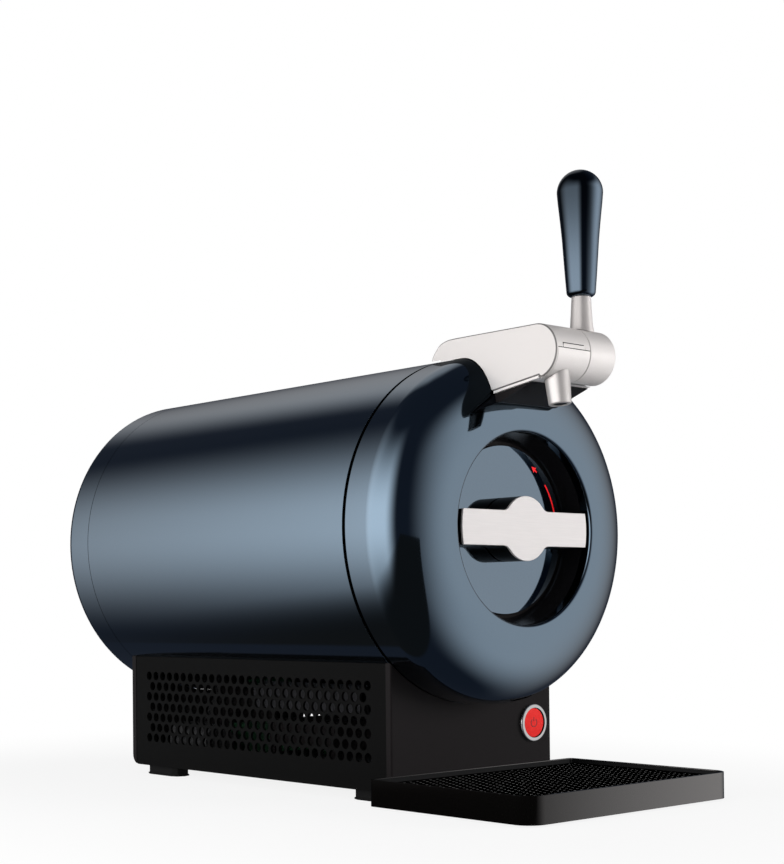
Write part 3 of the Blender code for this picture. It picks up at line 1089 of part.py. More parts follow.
def make_knob():
    """Bar that turns in the recess, its bright plate, and the shaft with the crank behind."""
    plate_front = DOOR_FACE + BAR_FACE_SET_BACK
    plate_back = plate_front + BAR_PLATE_THICKNESS
    body_back = DISC_FACE - RUNNING
    piece("knob_plate", prism(bar_outline(BAR_END_RADIUS), "Y", plate_front, plate_back), BRUSHED_PLATE,
          BARREL_CENTRE)
    piece("knob_body", prism(bar_outline(BAR_BODY_END_RADIUS), "Y", plate_back + FIT, body_back), BLACK_SATIN,
          BARREL_CENTRE)
    crank_front = CORE_BACK + RUNNING
    crank_back = crank_front + CRANK_DISC_THICKNESS
    outline = [(body_back + FIT, 0), (body_back + FIT, KNOB_SHAFT_RADIUS), (crank_front, KNOB_SHAFT_RADIUS),
               (crank_front, CRANK_DISC_RADIUS), (crank_back, CRANK_DISC_RADIUS), (crank_back, 0)]
    shaft = piece("knob_shaft", turned(outline, "Y", BARREL_CENTRE, SMALL_STEPS), STEEL, BARREL_CENTRE)
    pin = BARREL_CENTRE + CRANK_RADIUS * Vector((math.cos(CRANK_START_ANGLE), 0, math.sin(CRANK_START_ANGLE)))
    join(shaft, rod(CRANK_PIN_RADIUS, "Y", pin, crank_back - CRANK_DISC_THICKNESS / 2,
                    BOLT_FRONT + BOLT_THICKNESS, 10))

    half = BOLT_HALF_HEIGHT
    yoke = CRANK_RADIUS + 2 * CRANK_PIN_RADIUS + RUNNING
    bolt = piece("latch_bolt", box(-BOLT_REACH, 2 * CRANK_PIN_RADIUS, BOLT_FRONT, BOLT_FRONT + BOLT_THICKNESS,
                                   BARREL_AXIS_HEIGHT - half, BARREL_AXIS_HEIGHT + half), STEEL)
    join(bolt, box(pin.x - 3 * CRANK_PIN_RADIUS, 2 * CRANK_PIN_RADIUS, BOLT_FRONT,
                   BOLT_FRONT + BOLT_THICKNESS,
                   BARREL_AXIS_HEIGHT - yoke, BARREL_AXIS_HEIGHT))
    join(bolt, box(-BOLT_REACH, -BOLT_REACH + BOLT_ARM_WIDTH, BOLT_FRONT + BOLT_THICKNESS / 2,
                   BOLT_TIP_PAST_SEAM,
                   BARREL_AXIS_HEIGHT - half, BARREL_AXIS_HEIGHT + half))
    join(bolt, box(-BOLT_REACH - BOLT_TIP_LENGTH, -BOLT_REACH + BOLT_ARM_WIDTH / 2,
                   BOLT_TIP_PAST_SEAM - BOLT_TIP_THICKNESS, BOLT_TIP_PAST_SEAM,
                   BARREL_AXIS_HEIGHT - half, BARREL_AXIS_HEIGHT + half))
    slot = CRANK_PIN_RADIUS + FIT
    slot_high = CRANK_RADIUS * abs(math.sin(CRANK_START_ANGLE)) - slot - FIT
    cut(bolt, box(pin.x - slot, pin.x + slot, BOLT_FRONT - OVERRUN, BOLT_FRONT + BOLT_THICKNESS + OVERRUN,
                  BARREL_AXIS_HEIGHT - CRANK_RADIUS - slot, BARREL_AXIS_HEIGHT - slot_high))


HINGE_CENTRE_FLAT = Vector((HINGE_X, -HINGE_FRONT, 0))
BOLT_FRONT = CORE_BACK + RUNNING + CRANK_DISC_THICKNESS + FIT
TAIL_CUT_FRONT = DOOR_BACK - FIT
LOWER_SLOPE = math.atan2(TAP_EDGE_FALL, TAP_EDGE_RUN)
LOWER_TOUCH = (-TAP_AXIS_Y - TAP_RADIUS * math.sin(LOWER_SLOPE),
               TAP_AXIS_Z - TAP_RADIUS * math.cos(LOWER_SLOPE))
COVER_PIN = Vector((0, TAP_TAIL - COVER_PIN_SET_IN, BARREL_TOP + COVER_PIN_RISE))
CHANNEL_TOP = TAP_AXIS_Z + TAP_RADIUS - CHANNEL_DROP
NOZZLE_PLACE = Vector((-NOZZLE_X, -NOZZLE_Y, NOZZLE_END))


def lower_edge(y_place, drop=0.0):
    """Height of the hood's straight lower edge at a place along the tap."""
    return LOWER_TOUCH[1] - drop - (y_place - LOWER_TOUCH[0]) * math.tan(LOWER_SLOPE)


def hood_front(inset):
    """Round nose of the hood's side outline, from its top to the start of the lower edge."""
    return arc(-TAP_AXIS_Y, TAP_AXIS_Z, TAP_RADIUS - inset, math.pi / 2, 1.5 * math.pi - LOWER_SLOPE, 12)


def hood_tail(inset):
    """Rounded rear of the hood's side outline, from the barrel up to the top."""
    rise = TAP_AXIS_Z + TAP_RADIUS - inset - TAP_TAIL_LOW
    return [((TAP_TAIL - inset) * share_y, TAP_TAIL_LOW + rise * share_z) for share_y, share_z in TAIL_SHARES]


def hood_outline(inset):
    """Side outline of the whole hood, its top and nose set in for the softened cheek."""
    nose = hood_front(inset)
    nose[-1] = (nose[-1][0], nose[-1][1] + TAP_LIP)
    tip = (-TAP_TIP_Y, lower_edge(-TAP_TIP_Y) + TAP_LIP)
    return [(TAP_TAIL - inset, TAP_TIP_Z)] + hood_tail(inset) + nose + [tip]


def seats(tail_gap):
    """Cutters with the form of the door and of the barrel behind it."""
    return (door_skin(TAP_SEAT_GAP, DOOR_BACK, LARGE_STEPS),
            barrel_skin(BARREL_RADIUS + tail_gap, TAIL_CUT_FRONT, TAP_TAIL + OVERRUN))


def drum_room():
    """Round space for the lever's drum at the right of the tap."""
    return rod(TAP_RADIUS + TAP_DRUM_GAP, "X", TAP_CENTRE, TAP_DRUM_START - TAP_DRUM_GAP / 2,
               TAP_HALF_WIDTH + OVERRUN, MEDIUM_STEPS)


def ear_spans(grow=0.0):
    """Left and right ends of the two ears that carry the cover's pin."""
    return [(-EAR_START - EAR_WIDTH - grow, -EAR_START + grow),
            (EAR_START - grow, EAR_START + EAR_WIDTH + grow)]


def make_tap_cover():
    """Hood that lifts off the tap's channel, turning about a pin at its rear."""
    top = TAP_AXIS_Z + TAP_RADIUS
    wall = TAP_WALL
    low = TAP_TIP_Z - 2 * OVERRUN
    sections = [(-TAP_HALF_WIDTH, hood_outline(TAP_BEVEL)), (-TAP_HALF_WIDTH + TAP_BEVEL, hood_outline(0)),
                (TAP_HALF_WIDTH - TAP_BEVEL, hood_outline(0)), (TAP_HALF_WIDTH, hood_outline(TAP_BEVEL))]
    cover = piece("tap_cover", lofted(sections), SATIN_SILVER, COVER_PIN)
    tail = hood_tail(wall)
    roof = [(COVER_ROOM_BACK, low), (COVER_ROOM_BACK, CHANNEL_TOP + RUNNING), tail[-3], tail[-1]]
    drum_wall = TAP_DRUM_START - TAP_DRUM_GAP / 2
    cut(cover, prism(roof + hood_front(wall) + [(LOWER_TOUCH[0], low)], "X", -TAP_HALF_WIDTH + wall,
                     drum_wall - wall))
    behind_drum = -TAP_AXIS_Y + TAP_RADIUS + 2 * wall
    cut(cover, prism(roof + [(behind_drum, top - wall), (behind_drum, low)], "X", drum_wall - 2 * wall,
                     TAP_HALF_WIDTH - wall))
    front_room = box(-TAP_HALF_WIDTH + wall, TAP_HALF_WIDTH + OVERRUN, -TAP_AXIS_Y - TAP_RADIUS - OVERRUN,
                     -TAP_AXIS_Y + TAP_RADIUS + 5 * wall, TAP_TIP_Z - OVERRUN, TAP_PART_LINE)
    cut(cover, front_room, drum_room())
    cut(cover, box(drum_wall, TAP_HALF_WIDTH + OVERRUN, -TAP_AXIS_Y - TAP_RADIUS - OVERRUN,
                   -TAP_AXIS_Y + STEM_LOW_RADIUS + 2 * RUNNING, TAP_TIP_Z, top + OVERRUN))
    cut(cover, rod(AXLE_RADIUS + FIT, "X", TAP_CENTRE, -TAP_HALF_WIDTH + wall + FIT, drum_wall + OVERRUN))
    pin_end = TAP_HALF_WIDTH - wall / 2
    cut(cover, rod(COVER_PIN_RADIUS + FIT, "X", COVER_PIN, -pin_end, pin_end, 10))
    nose_front = -TAP_AXIS_Y - TAP_RADIUS
    cut(cover, box(-FINGER_LEFT, -FINGER_RIGHT, nose_front - OVERRUN, nose_front + FINGER_DEPTH,
                   TAP_PART_LINE - OVERRUN, TAP_PART_LINE + FINGER_HEIGHT))
    ear_room = EAR_RADIUS + RUNNING
    for x_low, x_high in ear_spans(FIT):
        cut(cover, rod(ear_room, "X", COVER_PIN, x_low, x_high, MEDIUM_STEPS),
            box(x_low, x_high, -2 * wall, COVER_PIN.y, low, COVER_PIN.z + ear_room - FIT))
    cut(cover, *seats(TAP_TAIL_GAP))
    piece("tap_cover_pin", rod(COVER_PIN_RADIUS, "X", COVER_PIN, FIT - pin_end, pin_end - FIT, 10), STEEL,
          HINGE_CENTRE)


def make_tap_body():
    """Fixed body under the hood: tube channel, lower nose, ears for the pin, and the black wedge."""
    wall = TAP_WALL + FIT
    half = TAP_HALF_WIDTH - wall
    nose = [point for point in hood_front(0) if point[1] < TAP_PART_LINE - 2 * FIT]
    front_room = -TAP_AXIS_Y + TAP_RADIUS
    outline = [(0, TAP_TIP_Z), (0, CHANNEL_TOP), (front_room + 2 * TAP_WALL + FIT, CHANNEL_TOP),
               (front_room + 2 * TAP_WALL + FIT, TAP_PART_LINE - FIT),
               (-TAP_AXIS_Y - TAP_RADIUS, TAP_PART_LINE - FIT)]
    outline += nose + [(-TAP_TIP_Y + FIT, lower_edge(-TAP_TIP_Y) + TAP_LIP / 2)]
    body = piece("tap_body", prism(outline, "X", -half, half), SATIN_SILVER, HINGE_CENTRE)
    edge_low = LOWER_TOUCH[0] + FIT
    lip = [(edge_low, lower_edge(edge_low)), (-TAP_TIP_Y, lower_edge(-TAP_TIP_Y)),
           (-TAP_TIP_Y, lower_edge(-TAP_TIP_Y) + TAP_LIP - FIT),
           (edge_low, lower_edge(edge_low) + TAP_LIP - FIT)]
    join(body, prism(lip, "X", -TAP_HALF_WIDTH, TAP_HALF_WIDTH))
    for x_low, x_high in ear_spans():
        join(body, rod(EAR_RADIUS, "X", COVER_PIN, x_low, x_high, MEDIUM_STEPS),
             box(x_low, x_high, -2 * TAP_WALL, COVER_PIN.y, COVER_PIN.z - EAR_RADIUS + RUNNING,
                 COVER_PIN.z + EAR_RADIUS - FIT))
    cut(body, rod(COVER_PIN_RADIUS + FIT, "X", COVER_PIN, -TAP_HALF_WIDTH - OVERRUN,
                  TAP_HALF_WIDTH + OVERRUN, 10))
    drum_wall = TAP_DRUM_START - TAP_DRUM_GAP / 2
    cut(body, drum_room())
    cut(body, box(drum_wall, TAP_HALF_WIDTH + OVERRUN, -TAP_AXIS_Y - TAP_RADIUS - OVERRUN, -TAP_AXIS_Y,
                  TAP_TIP_Z, TAP_AXIS_Z + OVERRUN))
    channel_left = -NOZZLE_X - NOZZLE_BORE - RUNNING
    channel_right = -NOZZLE_X + NOZZLE_BORE + RUNNING
    channel_floor = TAP_AXIS_Z - AXLE_RADIUS
    cut(body, box(channel_left, channel_right, -NOZZLE_Y - NOZZLE_BORE, TUBE_HOLE_Y + GROMMET_RADIUS,
                  channel_floor,
                  CHANNEL_TOP + OVERRUN))
    cut(body, box(channel_right - OVERRUN, GROMMET_BORE, TUBE_HOLE_Y - GROMMET_RADIUS,
                  TUBE_HOLE_Y + GROMMET_RADIUS,
                  channel_floor, CHANNEL_TOP + OVERRUN))
    bore_y = (LOWER_TOUCH[1] - NOZZLE_END) * math.tan(NOZZLE_TILT) - NOZZLE_Y
    cut(body, box(channel_left, channel_right, bore_y - NOZZLE_BORE, bore_y + NOZZLE_BORE, NOZZLE_END,
                  channel_floor + OVERRUN))
    cut(body, rod(AXLE_RADIUS + FIT, "X", TAP_CENTRE, -half + TAP_WALL, drum_wall + OVERRUN, SMALL_STEPS))
    cut(body, *seats(EAR_GAP))

    half = TAP_HALF_WIDTH - WEDGE_INSET
    edge_front = LOWER_TOUCH[0] + WEDGE_START
    low = WEDGE_BOTTOM
    outline = [(-TAP_TIP_Y + WEDGE_START, low), (-DOOR_DEPTH - WEDGE_INSET, low),
               (edge_front, lower_edge(edge_front, FIT)), (-TAP_TIP_Y + WEDGE_START,
               lower_edge(-TAP_TIP_Y + WEDGE_START, FIT))]
    wedge = piece("tap_wedge", prism(outline, "X", -half, half), BLACK_SATIN, HINGE_CENTRE)
    cut(wedge, door_skin(TAP_SEAT_GAP, DOOR_BACK, LARGE_STEPS))
    cut(wedge, rod(TAP_RADIUS + RUNNING, "X", TAP_CENTRE, -TAP_HALF_WIDTH, TAP_HALF_WIDTH, MEDIUM_STEPS))
    make_nozzle()


def make_nozzle():
    """Short spout under the nose, its back leaning in."""
    outline = [(0, NOZZLE_BORE), (0, NOZZLE_END_RADIUS - RIM_BEVEL), (RIM_BEVEL, NOZZLE_END_RADIUS),
               (NOZZLE_DROP, NOZZLE_TOP_RADIUS), (NOZZLE_DROP, NOZZLE_BORE)]
    spout = turned(outline, "Z", NOZZLE_PLACE, SMALL_STEPS + 4)
    bmesh.ops.rotate(spout, verts=spout.verts, cent=NOZZLE_PLACE,
                     matrix=Matrix.Rotation(-NOZZLE_TILT, 3, "X"))
    nozzle = piece("tap_nozzle", spout, SATIN_SILVER, HINGE_CENTRE)
    cut(nozzle, rod(TAP_RADIUS + FIT, "X", TAP_CENTRE, -TAP_HALF_WIDTH, TAP_HALF_WIDTH, MEDIUM_STEPS))
    cut(nozzle, prism([(edge, lower_edge(edge) + rise) for edge, rise in
                       ((LOWER_TOUCH[0] - FIT, -FIT), (-TAP_TIP_Y, -FIT), (-TAP_TIP_Y, TAP_RADIUS),
                        (LOWER_TOUCH[0] - FIT, TAP_RADIUS))], "X", -TAP_HALF_WIDTH, TAP_HALF_WIDTH))


def make_lever():
    """Drum, stem and handle that tip forward together about the axle."""
    start = TAP_DRUM_START + TAP_DRUM_GAP / 2
    end = TAP_HALF_WIDTH
    sink = end - DRUM_WALL
    outline = [(start, AXLE_RADIUS + FIT), (start, TAP_RADIUS), (end - DRUM_BEVEL, TAP_RADIUS),
               (end, TAP_RADIUS - DRUM_BEVEL), (end, AXLE_HEAD_RADIUS + FIT), (sink, AXLE_HEAD_RADIUS + FIT),
               (sink, AXLE_RADIUS + FIT)]
    piece("lever_drum", turned(outline, "X", TAP_CENTRE, MEDIUM_STEPS), SATIN_SILVER, TAP_CENTRE)
    left = -TAP_HALF_WIDTH + 2 * TAP_WALL + 2 * FIT
    outline = [(left, 0), (left, AXLE_RADIUS), (sink + FIT, AXLE_RADIUS), (sink + FIT, AXLE_HEAD_RADIUS),
               (end - RUNNING, AXLE_HEAD_RADIUS), (end - RUNNING, 0)]
    piece("lever_axle", turned(outline, "X", TAP_CENTRE, SMALL_STEPS), SATIN_SILVER, TAP_CENTRE)
    centre = Vector((STEM_X, -TAP_AXIS_Y, 0))
    outline = [(TAP_AXIS_Z, 0), (TAP_AXIS_Z, STEM_LOW_RADIUS), (TAP_AXIS_Z + TAP_RADIUS, STEM_LOW_RADIUS),
               (STEM_TOP, STEM_TOP_RADIUS), (STEM_TOP, 0)]
    stem = piece("lever_stem", turned(outline, "Z", centre, SMALL_STEPS + 4), SATIN_SILVER, TAP_CENTRE)
    cut(stem, rod(TAP_RADIUS + FIT, "X", TAP_CENTRE, 0, 2 * TAP_HALF_WIDTH, MEDIUM_STEPS))
    foot = STEM_TOP + FIT
    crown = HANDLE_TOP - HANDLE_GRIP_RADIUS
    outline = [(foot, 0), (foot, HANDLE_WAIST_RADIUS - HANDLE_FOOT_FILLET)]
    outline += [(foot + HANDLE_FOOT_FILLET * share, HANDLE_WAIST_RADIUS - HANDLE_FOOT_FILLET * (1 - rise))
                for share, rise in FOOT_FILLET_SHARES]
    outline += [(foot + (crown - foot) * share,
                 HANDLE_WAIST_RADIUS + (HANDLE_GRIP_RADIUS - HANDLE_WAIST_RADIUS) * rise)
                for share, rise in HANDLE_SHARES]
    outline += [(crown + HANDLE_GRIP_RADIUS * math.sin(a), HANDLE_GRIP_RADIUS * math.cos(a))
                for a in (math.pi / 2 * step / 5 for step in range(6))]
    outline[-1] = (HANDLE_TOP, 0)
    piece("lever_handle", turned(outline, "Z", centre, 20), BLUE_GLOSS, TAP_CENTRE)


make_barrel()
make_chamber()
make_cooling()
make_base_panels()
make_feet()
make_electrics()
make_button()
make_tray()
make_door_shell()
make_door_inside()
make_hinge()
make_knob()
make_tap_cover()
make_tap_body()
make_lever()
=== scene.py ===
"""Studio scene of the mini keg beer dispenser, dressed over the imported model.

Sizes are metres. Outlines are drawn from the seam between door and barrel (Y zero) and moved along Y
by SEAM_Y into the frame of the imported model. Blocks are low and high in X, then in Y, then in Z.
"""

import json
import math

import bmesh
import bpy
from mathutils import Matrix, Vector


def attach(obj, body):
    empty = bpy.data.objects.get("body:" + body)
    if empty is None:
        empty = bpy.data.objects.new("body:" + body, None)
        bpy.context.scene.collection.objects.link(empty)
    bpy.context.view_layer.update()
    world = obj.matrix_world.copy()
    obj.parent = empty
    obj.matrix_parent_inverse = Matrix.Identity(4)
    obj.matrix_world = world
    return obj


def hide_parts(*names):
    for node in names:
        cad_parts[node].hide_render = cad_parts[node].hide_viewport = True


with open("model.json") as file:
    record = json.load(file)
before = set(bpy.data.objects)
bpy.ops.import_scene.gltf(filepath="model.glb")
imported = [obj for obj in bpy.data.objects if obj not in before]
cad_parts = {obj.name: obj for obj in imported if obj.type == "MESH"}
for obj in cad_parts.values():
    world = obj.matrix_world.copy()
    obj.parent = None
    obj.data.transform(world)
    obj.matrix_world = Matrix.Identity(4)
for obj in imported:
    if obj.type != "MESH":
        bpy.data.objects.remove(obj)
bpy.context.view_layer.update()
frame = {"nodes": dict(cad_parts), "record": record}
NODES = frame["nodes"]

SEAM_Y = -0.1033
AXIS = Vector((0, 0, 0.1917))
BARREL_RADIUS = 0.125
DOOR_FACE = -0.0545
DISC_FACE = -0.0323
TAP_AXIS = Vector((0, -0.092, 0.3095))
TAP_RADIUS = 0.0187
TAP_HALF = 0.0313
FIT = 0.0003
OVERRUN = 0.002
MERGE = 1e-6
UNIT = {"X": Vector((1, 0, 0)), "Y": Vector((0, 1, 0)), "Z": Vector((0, 0, 1))}
STEPS_BARREL = 192
STEPS_RING = 160
STEPS_DRUM = 128
STEPS_KNOB = 96
STEPS_STEM = 64
STEPS_BAR = 48
STEPS_PIN = 24


# ---- Shapes

def on_axis(axis, along, across, up=0.0):
    """Point from a place along the named axis and two across it."""
    if axis == "X":
        return Vector((along, across, up))
    if axis == "Y":
        return Vector((across, along, up))
    return Vector((across, up, along))


def turned(profile, axis, centre, steps=STEPS_KNOB):
    """Closed solid turned from (along, radius) points."""
    mesh = bmesh.new()
    points = [mesh.verts.new(centre + on_axis(axis, along, radius)) for along, radius in profile]
    edges = [mesh.edges.new((points[i - 1], points[i])) for i in range(len(points))
             if profile[i][1] > 0 or profile[i - 1][1] > 0]
    bmesh.ops.spin(mesh, geom=points + edges, cent=centre, axis=UNIT[axis], angle=math.tau,
                   steps=steps, use_merge=True)
    bmesh.ops.remove_doubles(mesh, verts=mesh.verts, dist=MERGE)
    bmesh.ops.recalc_face_normals(mesh, faces=mesh.faces)
    return mesh


def prism(outline, axis, low, high):
    """Closed solid pulled along an axis from an outline."""
    mesh = bmesh.new()
    face = mesh.faces.new([mesh.verts.new(on_axis(axis, low, across, up)) for across, up in outline])
    pulled = bmesh.ops.extrude_face_region(mesh, geom=[face])
    moved = [item for item in pulled["geom"] if isinstance(item, bmesh.types.BMVert)]
    bmesh.ops.translate(mesh, verts=moved, vec=UNIT[axis] * (high - low))
    bmesh.ops.recalc_face_normals(mesh, faces=mesh.faces)
    return mesh


def box(x_low, x_high, y_low, y_high, z_low, z_high):
    """Closed block."""
    corners = [(x_low, y_low), (x_high, y_low), (x_high, y_high), (x_low, y_high)]
    return prism(corners, "Z", z_low, z_high)


def rod(radius, axis, centre, low, high, steps=STEPS_BAR):
    """Round bar."""
    return turned([(low, 0), (low, radius), (high, radius), (high, 0)], axis, centre, steps)


def arc(across, up, radius, start, end, count):
    """Points on an arc, angles in degrees."""
    angles = [math.radians(start + (end - start) * i / count) for i in range(count + 1)]
    return [(across + radius * math.cos(a), up + radius * math.sin(a)) for a in angles]


def leaned(mesh, centre, angle):
    """Turns a mesh about the X direction through a point."""
    bmesh.ops.rotate(mesh, verts=mesh.verts, cent=centre, matrix=Matrix.Rotation(angle, 3, "X"))
    return mesh


def new_object(name, mesh):
    """Object from a drawn mesh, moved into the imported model's frame."""
    data = bpy.data.meshes.new(name)
    bmesh.ops.translate(mesh, verts=mesh.verts, vec=Vector((0, SEAM_Y, 0)))
    mesh.to_mesh(data)
    mesh.free()
    item = bpy.data.objects.new(name, data)
    bpy.context.collection.objects.link(item)
    return item


def bake(item):
    """Makes the modifiers' result the object's own mesh."""
    bpy.context.view_layer.update()
    graph = bpy.context.evaluated_depsgraph_get()
    data = bpy.data.meshes.new_from_object(item.evaluated_get(graph))
    item.modifiers.clear()
    item.data = data


def carve(item, operation, meshes):
    """Applies one Boolean for each mesh and drops the shaping tools."""
    tools = []
    for mesh in meshes:
        cutter = new_object("shaping_tool", mesh)
        step = item.modifiers.new("shape", "BOOLEAN")
        step.operation = operation
        step.object = cutter
        tools.append(cutter)
    bake(item)
    for cutter in tools:
        bpy.data.objects.remove(cutter, do_unlink=True)


def bevelled(item, width, segments, angle):
    """Rounds the edges sharper than an angle in degrees."""
    edge = item.modifiers.new("edge", "BEVEL")
    edge.width = width
    edge.segments = segments
    edge.limit_method = "ANGLE"
    edge.angle_limit = math.radians(angle)
    bake(item)


def piece(name, mesh, material, body, stands_for=(), cuts=(), joins=(), bevel=0.0, segments=3, sharp=32):
    """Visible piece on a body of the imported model."""
    item = mesh if isinstance(mesh, bpy.types.Object) else new_object(name, mesh)
    if joins:
        carve(item, "UNION", joins)
    if cuts:
        carve(item, "DIFFERENCE", cuts)
    item.data.materials.clear()
    item.data.materials.append(material)
    if bevel:
        bevelled(item, bevel, segments, sharp)
    item.data.shade_smooth()
    item.data.set_sharp_from_angle(angle=math.radians(sharp))
    fair = item.modifiers.new("fair", "WEIGHTED_NORMAL")
    fair.keep_sharp = True
    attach(item, body)
    if stands_for:
        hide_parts(*stands_for)
    return item


# ---- Materials

BUMP_DEPTH = 0.0002
GRAIN_DETAIL = 4.0
BRUSH_DETAIL = 3.0
BRUSH_STRETCH = (0.04, 1.0, 1.0)
UPRIGHT = 0.5
# Range of the cheek's normal over which its rounded edges get painted shade.
SHADED_EDGE_START = (0.05, 0.3)
SHADED_EDGE_END = (0.95, 0.995)
# Turn, height and share of the painted light on the upright rods.
SIDE_TURN = (-0.55, 0.25)
SIDE_DROP = (0.36, 0.43)
SIDE_SHARE = 0.32
# Rise and corner of the painted sheen on the tray.
SLOPE = (-0.09, 0.095, 0.2, 1.0)
SLOPE_CORNER = (-0.1035, -0.093)
SLOPE_LOW = 0.1
RANGE_LABELS = ("From Min", "From Max", "To Min", "To Max")


def group(name, build, outputs, inputs):
    """Node group with the named float inputs and the given outputs."""
    tree = bpy.data.node_groups.new(name, "ShaderNodeTree")
    for label, value in inputs:
        socket = tree.interface.new_socket(label, in_out="INPUT", socket_type="NodeSocketFloat")
        socket.default_value = value
    for label, kind in outputs:
        tree.interface.new_socket(label, in_out="OUTPUT", socket_type=kind)
    build(tree, tree.nodes.new("NodeGroupInput"), tree.nodes.new("NodeGroupOutput"))
    return tree


def math_node(tree, operation, first, second=None):
    """Math node on sockets or numbers."""
    node = tree.nodes.new("ShaderNodeMath")
    node.operation = operation
    for socket, value in zip(node.inputs, (first, second)):
        if isinstance(value, (int, float)):
            socket.default_value = value
        elif value is not None:
            tree.links.new(value, socket)
    return node.outputs["Value"]


def vector_node(tree, operation, vector, second=None):
    """Vector math node on a socket and a fixed vector."""
    node = tree.nodes.new("ShaderNodeVectorMath")
    node.operation = operation
    tree.links.new(vector, node.inputs[0])
    if second:
        node.inputs[1].default_value = second
    return node.outputs


def parts_of(tree, vector):
    """Sockets of a vector's three parts."""
    node = tree.nodes.new("ShaderNodeSeparateXYZ")
    tree.links.new(vector, node.inputs["Vector"])
    return node.outputs


def mapped(tree, value, numbers, kind="LINEAR"):
    """Value brought from one range to another."""
    node = tree.nodes.new("ShaderNodeMapRange")
    node.interpolation_type = kind
    for label, number in zip(RANGE_LABELS, numbers):
        node.inputs[label].default_value = number
    tree.links.new(value, node.inputs["Value"])
    return node.outputs["Result"]


def faded(tree, value, start, end, low, high):
    """Soft step of a value from one level to another."""
    return mapped(tree, value, (start, end, low, high), "SMOOTHSTEP")


def mixed(tree, factor, first, second):
    """Colour between two, by a factor socket; a colour may be a socket."""
    mix = tree.nodes.new("ShaderNodeMix")
    mix.data_type = "RGBA"
    for label, colour in (("A", first), ("B", second)):
        if isinstance(colour, (int, float)):
            mix.inputs[label].default_value = (colour, colour, colour, 1)
        else:
            tree.links.new(colour, mix.inputs[label])
    tree.links.new(factor, mix.inputs["Factor"])
    return mix.outputs["Result"]


def textured(tree, given, result, vector, detail):
    """Noise on a vector, given out as a value and as a bumped normal."""
    noise = tree.nodes.new("ShaderNodeTexNoise")
    noise.inputs["Detail"].default_value = detail
    tree.links.new(vector, noise.inputs["Vector"])
    tree.links.new(given.outputs["Scale"], noise.inputs["Scale"])
    tree.links.new(noise.outputs["Fac"], result.inputs["Value"])
    bump = tree.nodes.new("ShaderNodeBump")
    bump.inputs["Distance"].default_value = BUMP_DEPTH
    tree.links.new(noise.outputs["Fac"], bump.inputs["Height"])
    tree.links.new(given.outputs["Strength"], bump.inputs["Strength"])
    tree.links.new(bump.outputs["Normal"], result.inputs["Normal"])


def build_grain(tree, given, result):
    """Even fine grain."""
    place = tree.nodes.new("ShaderNodeTexCoord")
    textured(tree, given, result, place.outputs["Object"], GRAIN_DETAIL)


def build_brushed(tree, given, result):
    """Fine lines along X."""
    place = tree.nodes.new("ShaderNodeTexCoord")
    stretched = vector_node(tree, "MULTIPLY", place.outputs["Object"], BRUSH_STRETCH)
    textured(tree, given, result, stretched["Vector"], BRUSH_DETAIL)


def build_hole_glints(tree, given, result):
    """Mask of the upright walls, such as the edges of holes in a level sheet; these walls are painted
    lighter, a painted glint of light in the holes.
    """
    shape = tree.nodes.new("ShaderNodeNewGeometry")
    steep = math_node(tree, "ABSOLUTE", parts_of(tree, shape.outputs["True Normal"])["Z"])
    tree.links.new(math_node(tree, "LESS_THAN", steep, UPRIGHT), result.inputs["Value"])
    tree.links.new(shape.outputs["Normal"], result.inputs["Normal"])


def build_edge_shade(tree, given, result):
    """Fine grain, with a mask that is low on the rounded edges of a cheek: those edges are painted darker, a
    painted dark reflection along them.
    """
    build_grain(tree, given, result)
    place = tree.nodes.new("ShaderNodeTexCoord")
    across = math_node(tree, "ABSOLUTE", parts_of(tree, place.outputs["Normal"])["X"])
    start = faded(tree, across, *SHADED_EDGE_START, 0, 1)
    end = faded(tree, across, *SHADED_EDGE_END, 1, 0)
    edge = math_node(tree, "MULTIPLY", start, end)
    tree.links.new(math_node(tree, "SUBTRACT", 1.0, edge), result.inputs["Value"])


def build_side_light(tree, given, result):
    """Fine grain, with a mask that rises to the right side of an upright rod and down its left: painted
    light, lighter on the right and low on the left, painted shade up the left.
    """
    build_grain(tree, given, result)
    place = tree.nodes.new("ShaderNodeTexCoord")
    right = faded(tree, parts_of(tree, place.outputs["Normal"])["X"], *SIDE_TURN, 0, 1)
    low = faded(tree, parts_of(tree, place.outputs["Object"])["Z"], *SIDE_DROP, SIDE_SHARE, 0)
    tree.links.new(math_node(tree, "MAXIMUM", right, low), result.inputs["Value"])


def build_sloped_sheen(tree, given, result):
    """Fine grain, with a mask that rises along X from a dark left corner: a painted sheen, with painted
    shade at that corner.
    """
    build_grain(tree, given, result)
    place = tree.nodes.new("ShaderNodeTexCoord")
    across = parts_of(tree, place.outputs["Object"])["X"]
    rise = mapped(tree, across, SLOPE)
    corner = faded(tree, across, *SLOPE_CORNER, SLOPE_LOW, 1)
    tree.links.new(math_node(tree, "MULTIPLY", rise, corner), result.inputs["Value"])


GROUP_INPUTS = (("Scale", 900.0), ("Strength", 0.05))
GROUP_OUTPUTS = (("Value", "NodeSocketFloat"), ("Normal", "NodeSocketVector"))
SIDE_LIGHT = group("painted_side_light", build_side_light, GROUP_OUTPUTS, GROUP_INPUTS)
SLOPED_SHEEN = group("painted_sloped_sheen", build_sloped_sheen, GROUP_OUTPUTS, GROUP_INPUTS)
EDGE_SHADE = group("painted_edge_shade", build_edge_shade, GROUP_OUTPUTS, GROUP_INPUTS)
HOLE_GLINTS = group("painted_hole_glints", build_hole_glints, GROUP_OUTPUTS, GROUP_INPUTS)
GRAIN = group("fine_grain", build_grain, GROUP_OUTPUTS, GROUP_INPUTS)
BRUSHED = group("brushed_lines", build_brushed, GROUP_OUTPUTS, GROUP_INPUTS)


